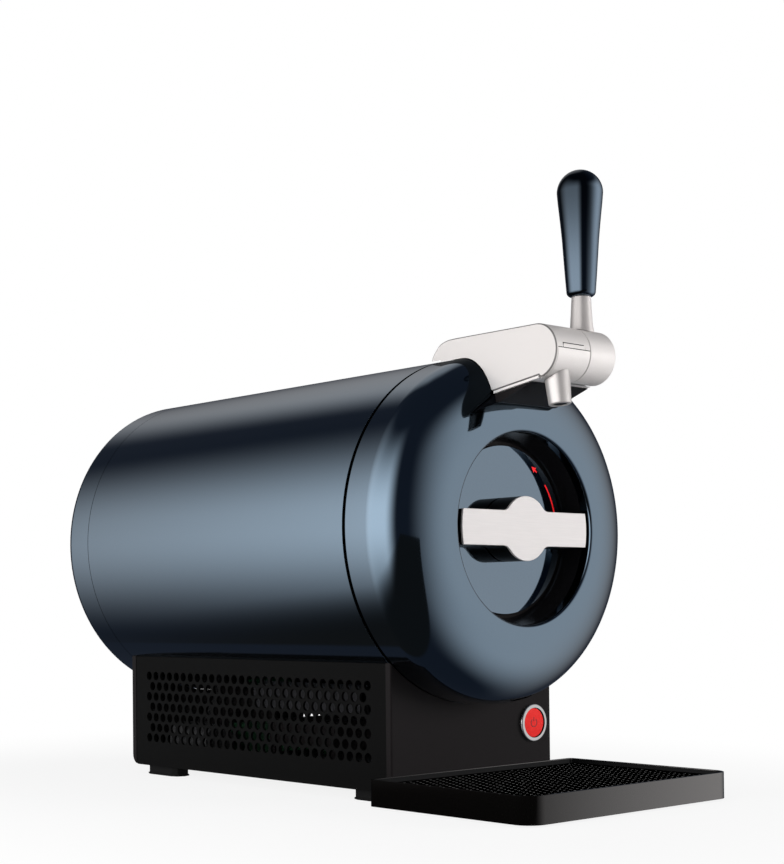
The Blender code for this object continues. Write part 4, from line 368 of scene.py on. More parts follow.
def finish(name, colour, rough, metallic=0.0, texture=GRAIN, scale=900.0, strength=0.04, spread=0.04,
           shade=0.06, coat=0.0, coat_rough=0.05, level=0.5, painted_reflection=None, level_follows=False,
           extra=()):
    """Principled material whose colour, roughness and normal follow a procedural texture; a colour given for
    glossy rays replaces it there, a painted dark reflection.
    """
    material = bpy.data.materials.new(name)
    material.use_nodes = True
    tree = material.node_tree
    shader = tree.nodes["Principled BSDF"]
    effect = tree.nodes.new("ShaderNodeGroup")
    effect.node_tree = texture
    effect.inputs["Scale"].default_value = scale
    effect.inputs["Strength"].default_value = strength
    tree.links.new(effect.outputs["Normal"], shader.inputs["Normal"])
    tones = tree.nodes.new("ShaderNodeMix")
    tones.data_type = "RGBA"
    tones.inputs["A"].default_value = (*(part * (1 - shade) for part in colour), 1)
    tones.inputs["B"].default_value = (*(min(1, part * (1 + shade)) for part in colour), 1)
    tree.links.new(effect.outputs["Value"], tones.inputs["Factor"])
    colour_out = tones.outputs["Result"]
    if painted_reflection is not None:
        seen = tree.nodes.new("ShaderNodeLightPath")
        colour_out = mixed(tree, seen.outputs["Is Glossy Ray"], colour_out, painted_reflection)
    tree.links.new(colour_out, shader.inputs["Base Color"])
    gloss = mapped(tree, effect.outputs["Value"], (0, 1, max(0, rough - spread), rough + spread))
    tree.links.new(gloss, shader.inputs["Roughness"])
    shader.inputs["Metallic"].default_value = metallic
    shader.inputs["Coat Weight"].default_value = coat
    shader.inputs["Coat Roughness"].default_value = coat_rough
    shader.inputs["Specular IOR Level"].default_value = level
    if level_follows:
        tree.links.new(effect.outputs["Value"], shader.inputs["Specular IOR Level"])
    for label, value in extra:
        shader.inputs[label].default_value = value
    return material


# Colour of the silver tap parts in glossy rays only: a painted dark reflection of the tap in the door.
DARK_REFLECTION_LEVEL = 0.012
BLUE_PAINT = finish("blue_paint", (0.136, 0.198, 0.26), 0.07, 1.0, scale=2600, strength=0.0,
                    spread=0.01, coat=1.0, coat_rough=0.02)
BLUE_GLOSS = finish("blue_gloss", (0.142, 0.198, 0.255), 0.05, 1.0, scale=700, strength=0.0,
                    spread=0.01, coat=1.0, coat_rough=0.02)
# Gloss blue handle painted darker on its left and lighter on its right: painted shade and painted highlight.
HANDLE_BLUE = finish("handle_blue", (0.14, 0.185, 0.235), 0.09, 1.0, texture=SIDE_LIGHT, scale=700,
                     strength=0.0, spread=0.01, shade=0.78)
SATIN_SILVER = finish("satin_silver", (0.80, 0.76, 0.74), 0.34, 0.35, scale=1500, strength=0.02,
                      painted_reflection=DARK_REFLECTION_LEVEL)
# Satin silver hood whose rounded edges are painted darker, a painted dark reflection.
COVER_SILVER = finish("cover_silver", (0.50, 0.475, 0.462), 0.34, 0.35, texture=EDGE_SHADE, scale=1500,
                      strength=0.02, shade=0.5, painted_reflection=DARK_REFLECTION_LEVEL)
# Silver stem painted darker on its left and lighter on its right: painted shade and painted highlight.
STEM_SILVER = finish("stem_silver", (0.60, 0.565, 0.55), 0.3, 0.35, texture=SIDE_LIGHT, scale=1500,
                     strength=0.02, shade=0.35)
NOZZLE_SILVER = finish("nozzle_silver", (0.70, 0.66, 0.64), 0.3, 0.5, scale=1500, strength=0.02,
                       painted_reflection=DARK_REFLECTION_LEVEL)
BRUSHED_PLATE = finish("brushed_plate", (0.70, 0.665, 0.655), 0.3, 0.4, texture=BRUSHED, scale=1400,
                       strength=0.03)
BLACK_SATIN = finish("black_satin", (0.0125, 0.0108, 0.0113), 0.38, scale=1200, strength=0.05,
                     level=0.05)
BLACK_DULL = finish("black_dull", (0.0045, 0.0045, 0.0045), 0.5, scale=1200, strength=0.05, level=0.03)
# Gloss black for the recess wall: painted shade and dark reflection inside the recess.
RECESS_SHADE = finish("painted_recess_shade", (0.006, 0.006, 0.007), 0.16, scale=600, strength=0.0)
# Near-black tray whose colour and specular level follow the sloped mask: a painted sheen brightening to the
# right, painted shade at the left corner.
BLACK_TRAY = finish("black_tray", (0.002, 0.0018, 0.0017), 0.13, texture=SLOPED_SHEEN, scale=1200,
                    strength=0.02, spread=0.0, level_follows=True,
                    extra=(("IOR", 1.88), ("Specular Tint", (1, 0.95, 0.92, 1))))
BLACK_DEEP = finish("black_deep", (0.004, 0.004, 0.0042), 0.4, scale=600, strength=0.0, level=0.1)
# Black for the seam ring: painted shade of the gap between door and barrel.
GAP_SHADE = finish("painted_gap_shade", (0.0003, 0.0003, 0.0003), 0.9, scale=600, strength=0.0, level=0.0)
# Near-black sheet whose hole walls are painted much lighter: painted glints where light catches the holes.
BLACK_PIERCED_GLINTS = finish("black_pierced_painted_glints", (0.12, 0.12, 0.12), 0.7, texture=HOLE_GLINTS, shade=0.995, level=0.0)
BLACK_RUBBER = finish("black_rubber", (0.005, 0.005, 0.005), 0.75, scale=1600, strength=0.15,
                      level=0.15)
WHITE_FOAM = finish("white_foam", (0.78, 0.76, 0.68), 0.9, scale=500, strength=0.6)
PALE_PLASTIC = finish("pale_plastic", (0.55, 0.55, 0.55), 0.45, scale=900, strength=0.06)
# Aluminium and board green are far darker than the real matter: painted shade inside the base.
ALUMINIUM_SHADED = finish("aluminium", (0.06, 0.06, 0.065), 0.55, 1.0, texture=BRUSHED, scale=900,
                   strength=0.1)
STEEL = finish("steel", (0.62, 0.61, 0.60), 0.26, 1.0, scale=1300, strength=0.03)
BOARD_GREEN_SHADED = finish("board_green", (0.006, 0.04, 0.015), 0.5, scale=400, strength=0.1)
RED_ANODISED = finish("red_anodised", (0.88, 0.014, 0.010), 0.34, 0.1, scale=900, strength=0.03,
                      level=0.25)
MARK_RED = finish("mark_red", (0.20, 0.006, 0.008), 0.4, scale=900, strength=0.0)
# Red print with a faint emission: painted light, though the print is no lamp.
PRINT_RED_GLOW = finish("print_red_painted_glow", (0.85, 0.012, 0.02), 0.35, scale=900, strength=0.0,
                   extra=(("Emission Color", (1, 0.012, 0.012, 1)), ("Emission Strength", 0.45)))
# Dark grey for the parts inside the base: painted shade.
SHADE_INSIDE = finish("painted_shade_inside", (0.05, 0.05, 0.052), 0.6, scale=900, strength=0.06, level=0.2)

SLOT_FINISH = {
    "blue_paint": BLUE_PAINT, "blue_gloss": BLUE_GLOSS, "satin_silver": SATIN_SILVER,
    "brushed_plate": BRUSHED_PLATE, "black_satin": BLACK_SATIN, "black_rubber": BLACK_RUBBER,
    "white_foam": WHITE_FOAM, "pale_plastic": PALE_PLASTIC, "aluminium": ALUMINIUM_SHADED, "steel": STEEL,
    "board_green": BOARD_GREEN_SHADED, "red_anodised": RED_ANODISED,
}
for part in frame["record"]["subparts"]:
    NODES[part["node"]].material_slots[0].material = SLOT_FINISH[part["material_slot"]]
# Parts inside the base take the painted shade.
for name in ("air_coupling", "cooling_module", "air_hose", "air_pump", "button_switch"):
    NODES[name].material_slots[0].material = SHADE_INSIDE


# ---- Barrel and door

SKIN_INNER = 0.123
SEAM_HALF = 0.0016
RIM_ROUND = 0.0001
SEAM_RING = ((-0.0012, 0.1225), (-0.0012, 0.1248), (0.0015, 0.1248), (0.0015, 0.1225))
BARREL_BACK = 0.3217
BELLY_WINDOW = (-0.040, 0.040, 0.078, 0.222, 0.060, 0.130)
HOSE_HOLE_RADIUS = 0.005
HOSE_HOLE = (Vector((0, 0.3148, 0)), 0.06, 0.1)
CAP_FRONT = 0.3223
CAP_BACK = 0.356
CAP_ROUND = 0.009
CAP_WALL = 0.002
SHOULDER_DROP = 0.0484
SHOULDER_DEPTH = 0.0325
DOOR_WALL = 0.0025
HINGE_ROOM = (0.111, 0.128, -0.019, 0.002, 0.1697, 0.2137)
TUBE_HOLE_RADIUS = 0.008
TUBE_HOLE = (Vector((0, -0.0275, 0)), 0.29, 0.32)
RECESS_RADIUS = 0.0684
RECESS_ROUND = 0.0026
RECESS_BACK = -0.0303
RECESS_BACK_RADIUS = 0.0632
LEDGE = (-0.0505, -0.0465)
DISC_BORE = 0.0073
DISC_RADIUS = 0.0607
DISC_CHAMFER = 0.0005
PRINT = 0.0001
PRINT_LIFT = 0.00012
ARROW_RADIUS = 0.055
ARROW_HALF = 0.0006
ARROW_SPANS = (("arrow_arc", 10, 38), ("arrow_neck", 51, 54))
HEAD_TIP = 58
HEAD_BASE = 53.5
HEAD_HALF = 0.0022
BAR_HALF = 0.0124
BAR_MIDDLE = 0.023
BAR_FILLET = 0.008
BAR_SET_IN = 0.0009
PLATE = 0.0018
PLATE_RADIUS = 0.0645
PLATE_EDGE = 0.0004
KNOB_RADIUS = 0.0622
KNOB_GAP = 0.0005
KNOB_EDGE = 0.0006


def door_profile(count, inset=0.0):
    """Points of the door's rounded shoulder."""
    start = DOOR_FACE + SHOULDER_DEPTH
    inner = BARREL_RADIUS - SHOULDER_DROP
    angles = [math.pi / 2 * i / count for i in range(count + 1)]
    return [(start - (SHOULDER_DEPTH - inset) * math.sin(a), inner + (SHOULDER_DROP - inset) * math.cos(a))
            for a in angles]


def make_barrel():
    """Smooth barrel, rear cap, door, recess and disc."""
    rim = arc(SEAM_HALF + RIM_ROUND, BARREL_RADIUS - RIM_ROUND, RIM_ROUND, 180, 90, 2)
    outline = [(SEAM_HALF, SKIN_INNER)] + rim + [(BARREL_BACK, BARREL_RADIUS), (BARREL_BACK, SKIN_INNER)]
    barrel = piece("barrel_skin", turned(outline, "Y", AXIS, STEPS_BARREL), BLUE_PAINT, "machine",
                   ["barrel_shell"], cuts=[box(*BELLY_WINDOW), rod(HOSE_HOLE_RADIUS, "Z", *HOSE_HOLE)])
    # A flush near-black ring fills the seam: painted shade where the gap is.
    seam = piece("seam_shade_ring", turned(SEAM_RING, "Y", AXIS, STEPS_RING), GAP_SHADE, "machine")
    round_y, round_r = CAP_BACK - CAP_ROUND, BARREL_RADIUS - CAP_ROUND
    outline = [(CAP_FRONT, SKIN_INNER), (CAP_FRONT, BARREL_RADIUS)]
    outline += arc(round_y, round_r, CAP_ROUND, 90, 0, 10) + [(CAP_BACK, 0), (CAP_BACK - CAP_WALL, 0)]
    outline += arc(round_y, round_r, CAP_ROUND - CAP_WALL, 0, 90, 5)
    cap = piece("rear_cap_skin", turned(outline, "Y", AXIS, STEPS_BARREL), BLUE_PAINT, "machine",
                ["rear_cap"])

    outline = [(-SEAM_HALF, BARREL_RADIUS - DOOR_WALL)]
    outline += arc(-SEAM_HALF - RIM_ROUND, BARREL_RADIUS - RIM_ROUND, RIM_ROUND, 0, 90, 2) + door_profile(32)
    outline += arc(DOOR_FACE + RECESS_ROUND, RECESS_RADIUS + RECESS_ROUND, RECESS_ROUND, 180, 270, 8)
    outline += [(LEDGE[1], RECESS_RADIUS), (LEDGE[1], RECESS_RADIUS + DOOR_WALL),
                (LEDGE[0], RECESS_RADIUS + DOOR_WALL)]
    outline += reversed(door_profile(16, DOOR_WALL))
    door = piece("door_skin", turned(outline, "Y", AXIS, STEPS_BARREL), BLUE_PAINT, "door",
                 ["door_shell"], cuts=[box(*HINGE_ROOM), rod(TUBE_HOLE_RADIUS, "Z", *TUBE_HOLE)])
    front = LEDGE[1] + FIT
    outline = [(front, RECESS_RADIUS), (front, RECESS_RADIUS + DOOR_WALL),
               (RECESS_BACK, RECESS_BACK_RADIUS + DOOR_WALL), (RECESS_BACK, RECESS_BACK_RADIUS)]
    # The recess wall is drawn gloss black: painted shade and dark reflection of the recess.
    wall = piece("recess_wall_skin", turned(outline, "Y", AXIS, STEPS_RING), RECESS_SHADE, "door",
                 ["recess_wall"])
    outline = [(DISC_FACE, DISC_BORE), (DISC_FACE, DISC_RADIUS - DISC_CHAMFER),
               (DISC_FACE + DISC_CHAMFER, DISC_RADIUS), (RECESS_BACK, DISC_RADIUS), (RECESS_BACK, DISC_BORE)]
    disc = piece("door_disc_skin", turned(outline, "Y", AXIS, STEPS_RING), BLUE_GLOSS, "door",
                 ["door_disc"])
    make_arrow()


def flat(outline, y_front, thickness):
    """Thin plate in the XZ plane, round the door's axis."""
    return prism([(x, z + AXIS.z) for x, z in outline], "Y", y_front, y_front + thickness)


def make_arrow():
    """Printed red arc with its arrow head, which also glows a little as painted light; the place of the word
    is left bare.
    """
    outlines = []
    for name, start, end in ARROW_SPANS:
        outer = arc(0, 0, ARROW_RADIUS + ARROW_HALF, start, end, 24)
        outlines.append((name, outer + arc(0, 0, ARROW_RADIUS - ARROW_HALF, end, start, 24)))
    corners = ((HEAD_TIP, ARROW_RADIUS), (HEAD_BASE, ARROW_RADIUS - HEAD_HALF),
               (HEAD_BASE, ARROW_RADIUS + HEAD_HALF))
    head = [(radius * math.cos(math.radians(angle)), radius * math.sin(math.radians(angle)))
            for angle, radius in corners]
    for name, outline in outlines + [("arrow_head", head)]:
        stroke = piece(name, flat(outline, DISC_FACE - PRINT_LIFT, PRINT), PRINT_RED_GLOW, "door")
        stroke.visible_glossy = False


def bar_outline(end_radius):
    """Outline of the turning bar."""
    fillet_z = BAR_HALF + BAR_FILLET
    fillet_x = math.sqrt((BAR_MIDDLE + BAR_FILLET) ** 2 - fillet_z ** 2)
    touch = math.degrees(math.atan2(fillet_z, fillet_x))
    end = math.degrees(math.asin(BAR_HALF / end_radius))
    outline = arc(0, 0, end_radius, -end, end, 16)
    upper = arc(fillet_x, fillet_z, BAR_FILLET, -90, -180 + touch, 10)
    upper += arc(0, 0, BAR_MIDDLE, touch, 180 - touch, 40)[1:-1]
    upper += arc(-fillet_x, fillet_z, BAR_FILLET, -touch, -90, 10)
    outline += upper + arc(0, 0, end_radius, 180 - end, 180 + end, 16) + [(-x, -z) for x, z in upper]
    return outline


def make_knob():
    """Bright plate and dark body of the turning bar."""
    front = DOOR_FACE + BAR_SET_IN
    plate = piece("knob_plate_skin", flat(bar_outline(PLATE_RADIUS), front, PLATE), BRUSHED_PLATE, "knob",
                  ["knob_plate"], bevel=PLATE_EDGE, sharp=50)
    behind = front + PLATE + FIT
    body = piece("knob_body_skin", flat(bar_outline(KNOB_RADIUS), behind, DISC_FACE - KNOB_GAP - behind),
                 BLACK_DEEP, "knob", ["knob_body"], bevel=KNOB_EDGE, sharp=50)


# ---- Tap

EDGE_FALL = 0.0039
EDGE_RUN = 0.0265
EDGE_SLOPE = math.atan2(EDGE_FALL, EDGE_RUN)
TOUCH_Y = TAP_AXIS.y - TAP_RADIUS * math.sin(EDGE_SLOPE)
TOUCH_Z = TAP_AXIS.z - TAP_RADIUS * math.cos(EDGE_SLOPE)
TOP = TAP_AXIS.z + TAP_RADIUS
FRONT = TAP_AXIS.y - TAP_RADIUS
PART_LINE = 0.3105
PIN = Vector((0, 0.0048, 0.318))
PIN_BORE = 0.0012
PIN_SET_IN = 0.001
COVER_LIFT = math.radians(50)
TIP_Y = -0.0525
LIP = 0.002
LIP_SHORT = 0.004
WALL = 0.002
CHANNEL_TOP = 0.3201
ROOF_GAP = 0.0005
ROOF_POINT = 13
COVER_ROOM_BACK = 0.0016
COVER_ROUND = 0.0019
SKIRT_LOW = 0.2832
CUT_LOW = 0.279
NOSE_CUT_LOW = 0.281
DRUM_CUT_LOW = 0.283
TAIL_BACK = 0.0088
TAIL_LOW = 0.3145
TAIL_SHARES = ((1, 0), (0.80, 0.28), (0.17, 0.735), (-0.35, 0.89), (-0.98, 0.977), (-1.8, 1))
TAIL_STEPS = 4
DRUM_START = 0.0036
DRUM_WALL = DRUM_START - FIT
DRUM_GAP = 0.0006
DRUM_CUT_BACK = 0.0096
AXLE_BORE = 0.0043
EARS = ((-0.0285, -0.024), (0.024, 0.0285))
EAR_RADIUS = 0.0018
EAR_BLOCK = (-0.0013, 0.0015)
EAR_ROOM = 0.0023
EAR_ROOM_TOP = 0.002
ROOM_BACK = -0.001
ROOM_GAP = 0.0004
TAIL_ROOM = (-0.0013, 0.012)
COVER_GAP = 0.0014
BODY_GAP = 0.0012
LIFTED_BARREL = (0.0013, 0.06)
FINGER_SPAN = (-0.0244, -0.0014)
FINGER_DEPTH = 0.0003
FINGER_RISE = 0.0033
LINE = 0.0005
LINE_DEPTH = (0.0002, 0.0006)
FINGER_LINE_END = -0.003
PART_DEPTH = (-0.00006, 0.0016)
PART_HEIGHT = (-0.0004, 0.0001)
CHANNEL_X = (-0.0215, -0.0105)
CHANNEL_Y = (-0.105, -0.0198)
CROSSING_X = (-0.0125, 0.005)
CROSSING_FRONT = -0.0352
CHANNEL_DEPTH = 0.004
BODY_CUT = 0.021
SPOUT = Vector((-0.016, -0.1, 0.2735))
SPOUT_TILT = math.radians(7)
SPOUT_BORE = 0.005
SPOUT_RADIUS = 0.0070
SPOUT_ROUND = 0.0008
SPOUT_ROOT = 0.0098
SPOUT_LENGTH = 0.036
THROAT = (0.0005, 0.003)
THROAT_RADIUS = 0.00515
DRUM_EDGE = 0.0006
DRUM_ROUND = 0.0018
DRUM_BORE = 0.0073
DRUM_BORE_DEPTH = 0.0035
STEM_X = 0.0166
STEM_ROOT = 0.0086
STEM_FOOT = 0.0079
STEM_FOOT_HEIGHT = 0.003
STEM_RADIUS = 0.0067
STEM_TOP = 0.3515
STEM_CUT = 0.06
HANDLE_FOOT = 0.3518
HANDLE_TOP = 0.4405
HANDLE_WAIST = 0.0102
HANDLE_GRIP = 0.01605
HANDLE_ROUND = 0.0035
HANDLE_SHARES = ((0.16, 0.15), (0.34, 0.30), (0.525, 0.45), (0.67, 0.61), (0.8, 0.77), (0.9, 0.90))
CROWN_STEP = 6


def lower_edge(y_place):
    """Height of the hood's straight lower edge."""
    return TOUCH_Z - (y_place - TOUCH_Y) * math.tan(EDGE_SLOPE)


def nose(inset=0.0):
    """Round nose of the hood, from its top to the start of the lower edge."""
    return arc(TAP_AXIS.y, TAP_AXIS.z, TAP_RADIUS - inset, 90, 270 - math.degrees(EDGE_SLOPE), 40)


def door_room(tail_gap):
    """Space of the door under the tap, and of the barrel behind it."""
    outline = [(ROOM_BACK, 0), (ROOM_BACK, BARREL_RADIUS + ROOM_GAP)]
    outline += [(y - ROOM_GAP, r + ROOM_GAP) for y, r in door_profile(24)] + [(DOOR_FACE - ROOM_GAP, 0)]
    return [turned(outline, "Y", AXIS, STEPS_RING),
            rod(BARREL_RADIUS + tail_gap, "Y", AXIS, *TAIL_ROOM, STEPS_RING)]


def drum_room():
    """Space of the lever's drum."""
    return rod(TAP_RADIUS + DRUM_GAP, "X", TAP_AXIS, DRUM_WALL, TAP_HALF + OVERRUN, STEPS_KNOB)


def tail(inset=0.0):
    """Rounded rear of the hood, from the barrel up to the top."""
    rise = TOP - inset - TAIL_LOW
    outline = []
    for index in range(len(TAIL_SHARES) - 1):
        around = [TAIL_SHARES[min(max(index + step, 0), len(TAIL_SHARES) - 1)] for step in (-1, 0, 1, 2)]
        first, start, end, last = (Vector(share) for share in around)
        for step in range(TAIL_STEPS):
            s = step / TAIL_STEPS
            share = 0.5 * (2 * start + s * (end - first) + s * s * (2 * first - 5 * start + 4 * end - last)
                           + s ** 3 * (3 * start - first - 3 * end + last))
            outline.append(((TAIL_BACK - inset) * share.x, TAIL_LOW + rise * share.y))
    return outline + [((TAIL_BACK - inset) * TAIL_SHARES[-1][0], TOP - inset)]


def make_cover():
    """Hood of the tap with softened cheeks, hollow below."""
    outline = [(TAIL_BACK, SKIRT_LOW)] + tail() + nose()
    outline[-1] = (outline[-1][0], outline[-1][1] + LIP)
    outline.append((TIP_Y, lower_edge(TIP_Y) + LIP))
    item = new_object("tap_cover_skin", prism(outline, "X", -TAP_HALF, TAP_HALF))
    bevelled(item, COVER_ROUND, 4, 60)
    back_wall = TAP_AXIS.y + TAP_RADIUS + 2 * WALL
    inner = tail(WALL)
    roof = [(COVER_ROOM_BACK, CUT_LOW), (COVER_ROOM_BACK, CHANNEL_TOP + ROOF_GAP), inner[ROOF_POINT],
            inner[-1]]
    main = prism(roof + nose(WALL) + [(TOUCH_Y, CUT_LOW)], "X", -TAP_HALF + WALL, DRUM_WALL - WALL)
    behind = prism(roof + [(back_wall, TOP - WALL), (back_wall, CUT_LOW)], "X", DRUM_WALL - 2 * WALL,
                   TAP_HALF - WALL)
    below = box(-TAP_HALF + WALL, TAP_HALF + OVERRUN, FRONT - OVERRUN,
                TAP_AXIS.y + TAP_RADIUS + 5 * WALL, NOSE_CUT_LOW, PART_LINE)
    lever = box(DRUM_WALL, TAP_HALF + OVERRUN, FRONT - OVERRUN, TAP_AXIS.y + DRUM_CUT_BACK,
                DRUM_CUT_LOW, TOP + OVERRUN)
    axle = rod(AXLE_BORE, "X", TAP_AXIS, -TAP_HALF + WALL + FIT, DRUM_WALL + OVERRUN)
    line_top = PART_LINE + FINGER_RISE
    finger = box(*FINGER_SPAN, FRONT - OVERRUN, FRONT + FINGER_DEPTH, PART_LINE - OVERRUN, line_top)
    pin = rod(PIN_BORE, "X", PIN, PIN_SET_IN - TAP_HALF, TAP_HALF - PIN_SET_IN, STEPS_PIN)
    barrel = rod(BARREL_RADIUS + FIT, "Y", AXIS, *LIFTED_BARREL, STEPS_RING)
    cuts = [main, behind, below, drum_room(), lever, axle, finger, pin, leaned(barrel, PIN, COVER_LIFT)]
    for low, high in EARS:
        left, right = low - FIT, high + FIT
        cuts += [rod(EAR_ROOM, "X", PIN, left, right, STEPS_PIN),
                 box(left, right, -2 * WALL, PIN.y, CUT_LOW, PIN.z + EAR_ROOM_TOP)]
    cover = piece("tap_cover_skin", item, COVER_SILVER, "cover", ["tap_cover"],
                  cuts=cuts + door_room(COVER_GAP), sharp=40)
    make_lines(line_top)


def make_lines(line_top):
    """Thin dark lines of the hood's parting, and painted shade along the top and left end of its finger
    recess.
    """
    depth = (FRONT + LINE_DEPTH[0], FRONT + LINE_DEPTH[1])
    left = FINGER_SPAN[0]
    spans = (("part_line", (OVERRUN - TAP_HALF, DRUM_WALL, FRONT + PART_DEPTH[0], FRONT + PART_DEPTH[1],
                            PART_LINE + PART_HEIGHT[0], PART_LINE + PART_HEIGHT[1])),
             # The two recess lines are dark strips of painted shade at the recess's edges.
             ("recess_shade_line", (left, FINGER_LINE_END, *depth, line_top - LINE, line_top)),
             ("recess_shade_end", (left, left + LINE, *depth, PART_LINE, line_top - LINE)))
    for name, span in spans:
        line = piece(name, box(*span), BLACK_DEEP, "door" if name == "part_line" else "cover")


def make_body():
    """Fixed body of the tap: tube channel, lower nose, lip and the ears for the pin."""
    half = TAP_HALF - WALL - FIT
    back_wall = TAP_AXIS.y + TAP_RADIUS + 2 * WALL + FIT
    outline = [(0, SKIRT_LOW), (0, CHANNEL_TOP), (back_wall, CHANNEL_TOP), (back_wall, PART_LINE - FIT),
               (FRONT, PART_LINE - FIT)]
    outline += [point for point in nose() if point[1] < PART_LINE - 2 * FIT]
    outline.append((TIP_Y + FIT, lower_edge(TIP_Y) + LIP / 2))
    low = TOUCH_Y + FIT
    lip = [(low, lower_edge(low)), (TIP_Y, lower_edge(TIP_Y)), (TIP_Y, lower_edge(TIP_Y) + LIP - FIT),
           (low, lower_edge(low) + LIP - FIT)]
    joins = [prism(lip, "X", -TAP_HALF, TAP_HALF - LIP_SHORT)]
    for left, right in EARS:
        joins += [rod(EAR_RADIUS, "X", PIN, left, right, STEPS_PIN),
                  box(left, right, -2 * WALL, PIN.y, PIN.z + EAR_BLOCK[0], PIN.z + EAR_BLOCK[1])]
    floor = TAP_AXIS.z - CHANNEL_DEPTH
    bore_y = SPOUT.y + (TOUCH_Z - SPOUT.z) * math.tan(SPOUT_TILT)
    cuts = [rod(PIN_BORE, "X", PIN, -TAP_HALF - OVERRUN, TAP_HALF + OVERRUN, STEPS_PIN), drum_room(),
            box(DRUM_WALL, TAP_HALF + OVERRUN, TAP_AXIS.y - BODY_CUT, TAP_AXIS.y, SKIRT_LOW,
                TAP_AXIS.z + OVERRUN),
            box(*CHANNEL_X, *CHANNEL_Y, floor, CHANNEL_TOP + OVERRUN),
            box(*CROSSING_X, CROSSING_FRONT, CHANNEL_Y[1], floor, CHANNEL_TOP + OVERRUN),
            box(*CHANNEL_X, bore_y - SPOUT_BORE, bore_y + SPOUT_BORE, SPOUT.z, floor + OVERRUN),
            rod(AXLE_BORE, "X", TAP_AXIS, -half + WALL, DRUM_WALL + OVERRUN)]
    body = piece("tap_body_skin", prism(outline, "X", -half, half), SATIN_SILVER, "door", ["tap_body"],
                 joins=joins, cuts=cuts + door_room(BODY_GAP), sharp=40)


def make_nozzle():
    """Short spout under the nose, leaning back, with a dark disc in its bore as painted shade."""
    outline = [(0, SPOUT_BORE), (0, SPOUT_RADIUS)] + arc(SPOUT_ROUND, SPOUT_RADIUS, SPOUT_ROUND, 180, 90, 4)
    outline += [(SPOUT_LENGTH, SPOUT_ROOT), (SPOUT_LENGTH, SPOUT_BORE)]
    spout = leaned(turned(outline, "Z", SPOUT, STEPS_STEM), SPOUT, -SPOUT_TILT)
    edge = [(TOUCH_Y - FIT, -FIT), (TIP_Y, -FIT), (TIP_Y, TAP_RADIUS), (TOUCH_Y - FIT, TAP_RADIUS)]
    cuts = [rod(TAP_RADIUS + FIT, "X", TAP_AXIS, -TAP_HALF, TAP_HALF, STEPS_KNOB),
            prism([(y, lower_edge(y) + rise) for y, rise in edge], "X", -TAP_HALF, TAP_HALF)]
    nozzle = piece("tap_nozzle_skin", spout, NOZZLE_SILVER, "door", ["tap_nozzle"], cuts=cuts)
    # Near-black disc a little way up the bore: painted shade inside the spout.
    throat = leaned(rod(THROAT_RADIUS, "Z", SPOUT, *THROAT), SPOUT, -SPOUT_TILT)
    throat = piece("nozzle_throat_shade", throat, BLACK_DEEP, "door")


def make_lever():
    """Drum, stem and the long gloss handle."""
    start = DRUM_START + FIT
    end = TAP_HALF
    outline = [(start, AXLE_BORE), (start, TAP_RADIUS - DRUM_EDGE), (start + DRUM_EDGE, TAP_RADIUS)]
    outline += arc(end - DRUM_ROUND, TAP_RADIUS - DRUM_ROUND, DRUM_ROUND, 90, 0, 5)
    outline += [(end, DRUM_BORE), (end - DRUM_BORE_DEPTH, DRUM_BORE), (end - DRUM_BORE_DEPTH, AXLE_BORE)]
    drum = piece("lever_drum_skin", turned(outline, "X", TAP_AXIS, STEPS_DRUM), SATIN_SILVER, "lever",
                 ["lever_drum"])
    centre = Vector((STEM_X, TAP_AXIS.y, 0))
    outline = [(TAP_AXIS.z, 0), (TAP_AXIS.z, STEM_ROOT), (TOP, STEM_ROOT),
               (TOP + STEM_FOOT_HEIGHT, STEM_FOOT), (STEM_TOP, STEM_RADIUS), (STEM_TOP, 0)]
    stem = piece("lever_stem_skin", turned(outline, "Z", centre, STEPS_STEM), STEM_SILVER, "lever",
                 ["lever_stem"], cuts=[rod(TAP_RADIUS + FIT, "X", TAP_AXIS, 0, STEM_CUT, STEPS_KNOB)])
    round_z = HANDLE_FOOT + HANDLE_ROUND
    round_r = HANDLE_WAIST - HANDLE_ROUND
    crown = HANDLE_TOP - HANDLE_GRIP
    outline = [(HANDLE_FOOT, 0), (HANDLE_FOOT, round_r)] + arc(round_z, round_r, HANDLE_ROUND, 180, 90, 6)
    outline += [(round_z + (crown - round_z) * s, HANDLE_WAIST + (HANDLE_GRIP - HANDLE_WAIST) * r)
                for s, r in HANDLE_SHARES]
    outline += [(crown + HANDLE_GRIP * math.sin(math.radians(a)), HANDLE_GRIP * math.cos(math.radians(a)))
                for a in range(0, 90, CROWN_STEP)] + [(HANDLE_TOP, 0)]
    handle = piece("lever_handle_skin", turned(outline, "Z", centre, STEPS_KNOB), HANDLE_BLUE, "lever",
                   ["lever_handle"], sharp=40)


# ---- Base

BASE_HALF = 0.083
BASE_BOTTOM = 0.0075
BASE_TOP = AXIS.z - math.sqrt(BARREL_RADIUS ** 2 - BASE_HALF ** 2)
BASE_BACK = 0.3205
BASE_WALL = 0.0025
BASE_DEPTH = 0.005
BASE_ROUND = 0.0015
SEAT_GAP = 0.0001
GRILLE_X = 0.0816
GRILLE_EDGE_X = 0.0826
GRILLE_SET_IN = 0.0053
GRILLE_HALF = 0.001
GRILLE_CORNER = (0.3125, 0.0155, 0.008)
CORNER_STEP = 0.001
HOLE_ROWS = 7
HOLE_COLUMNS = 29
HOLE_START = (0.0246, 0.0307)
HOLE_PITCH = (0.0097, 0.00853)
HOLE_RADIUS = 0.0036
BUTTON = Vector((0.0619, 0, 0.049))
BUTTON_HOLE = 0.01315
RING_INNER = 0.0113
RING_OUTER = 0.0141
RING_FRONT = -0.003
RING_BACK = 0.0045
RING_SEAT = 0.01285
RING_ROUND = 0.0012
BUTTON_FACE = -0.0022
BUTTON_RADIUS = 0.011
BUTTON_EDGE = ((0, 0.0102), (0.0003, 0.0108))
BUTTON_RIM = 0.0008
BUTTON_DEPTH = 0.005
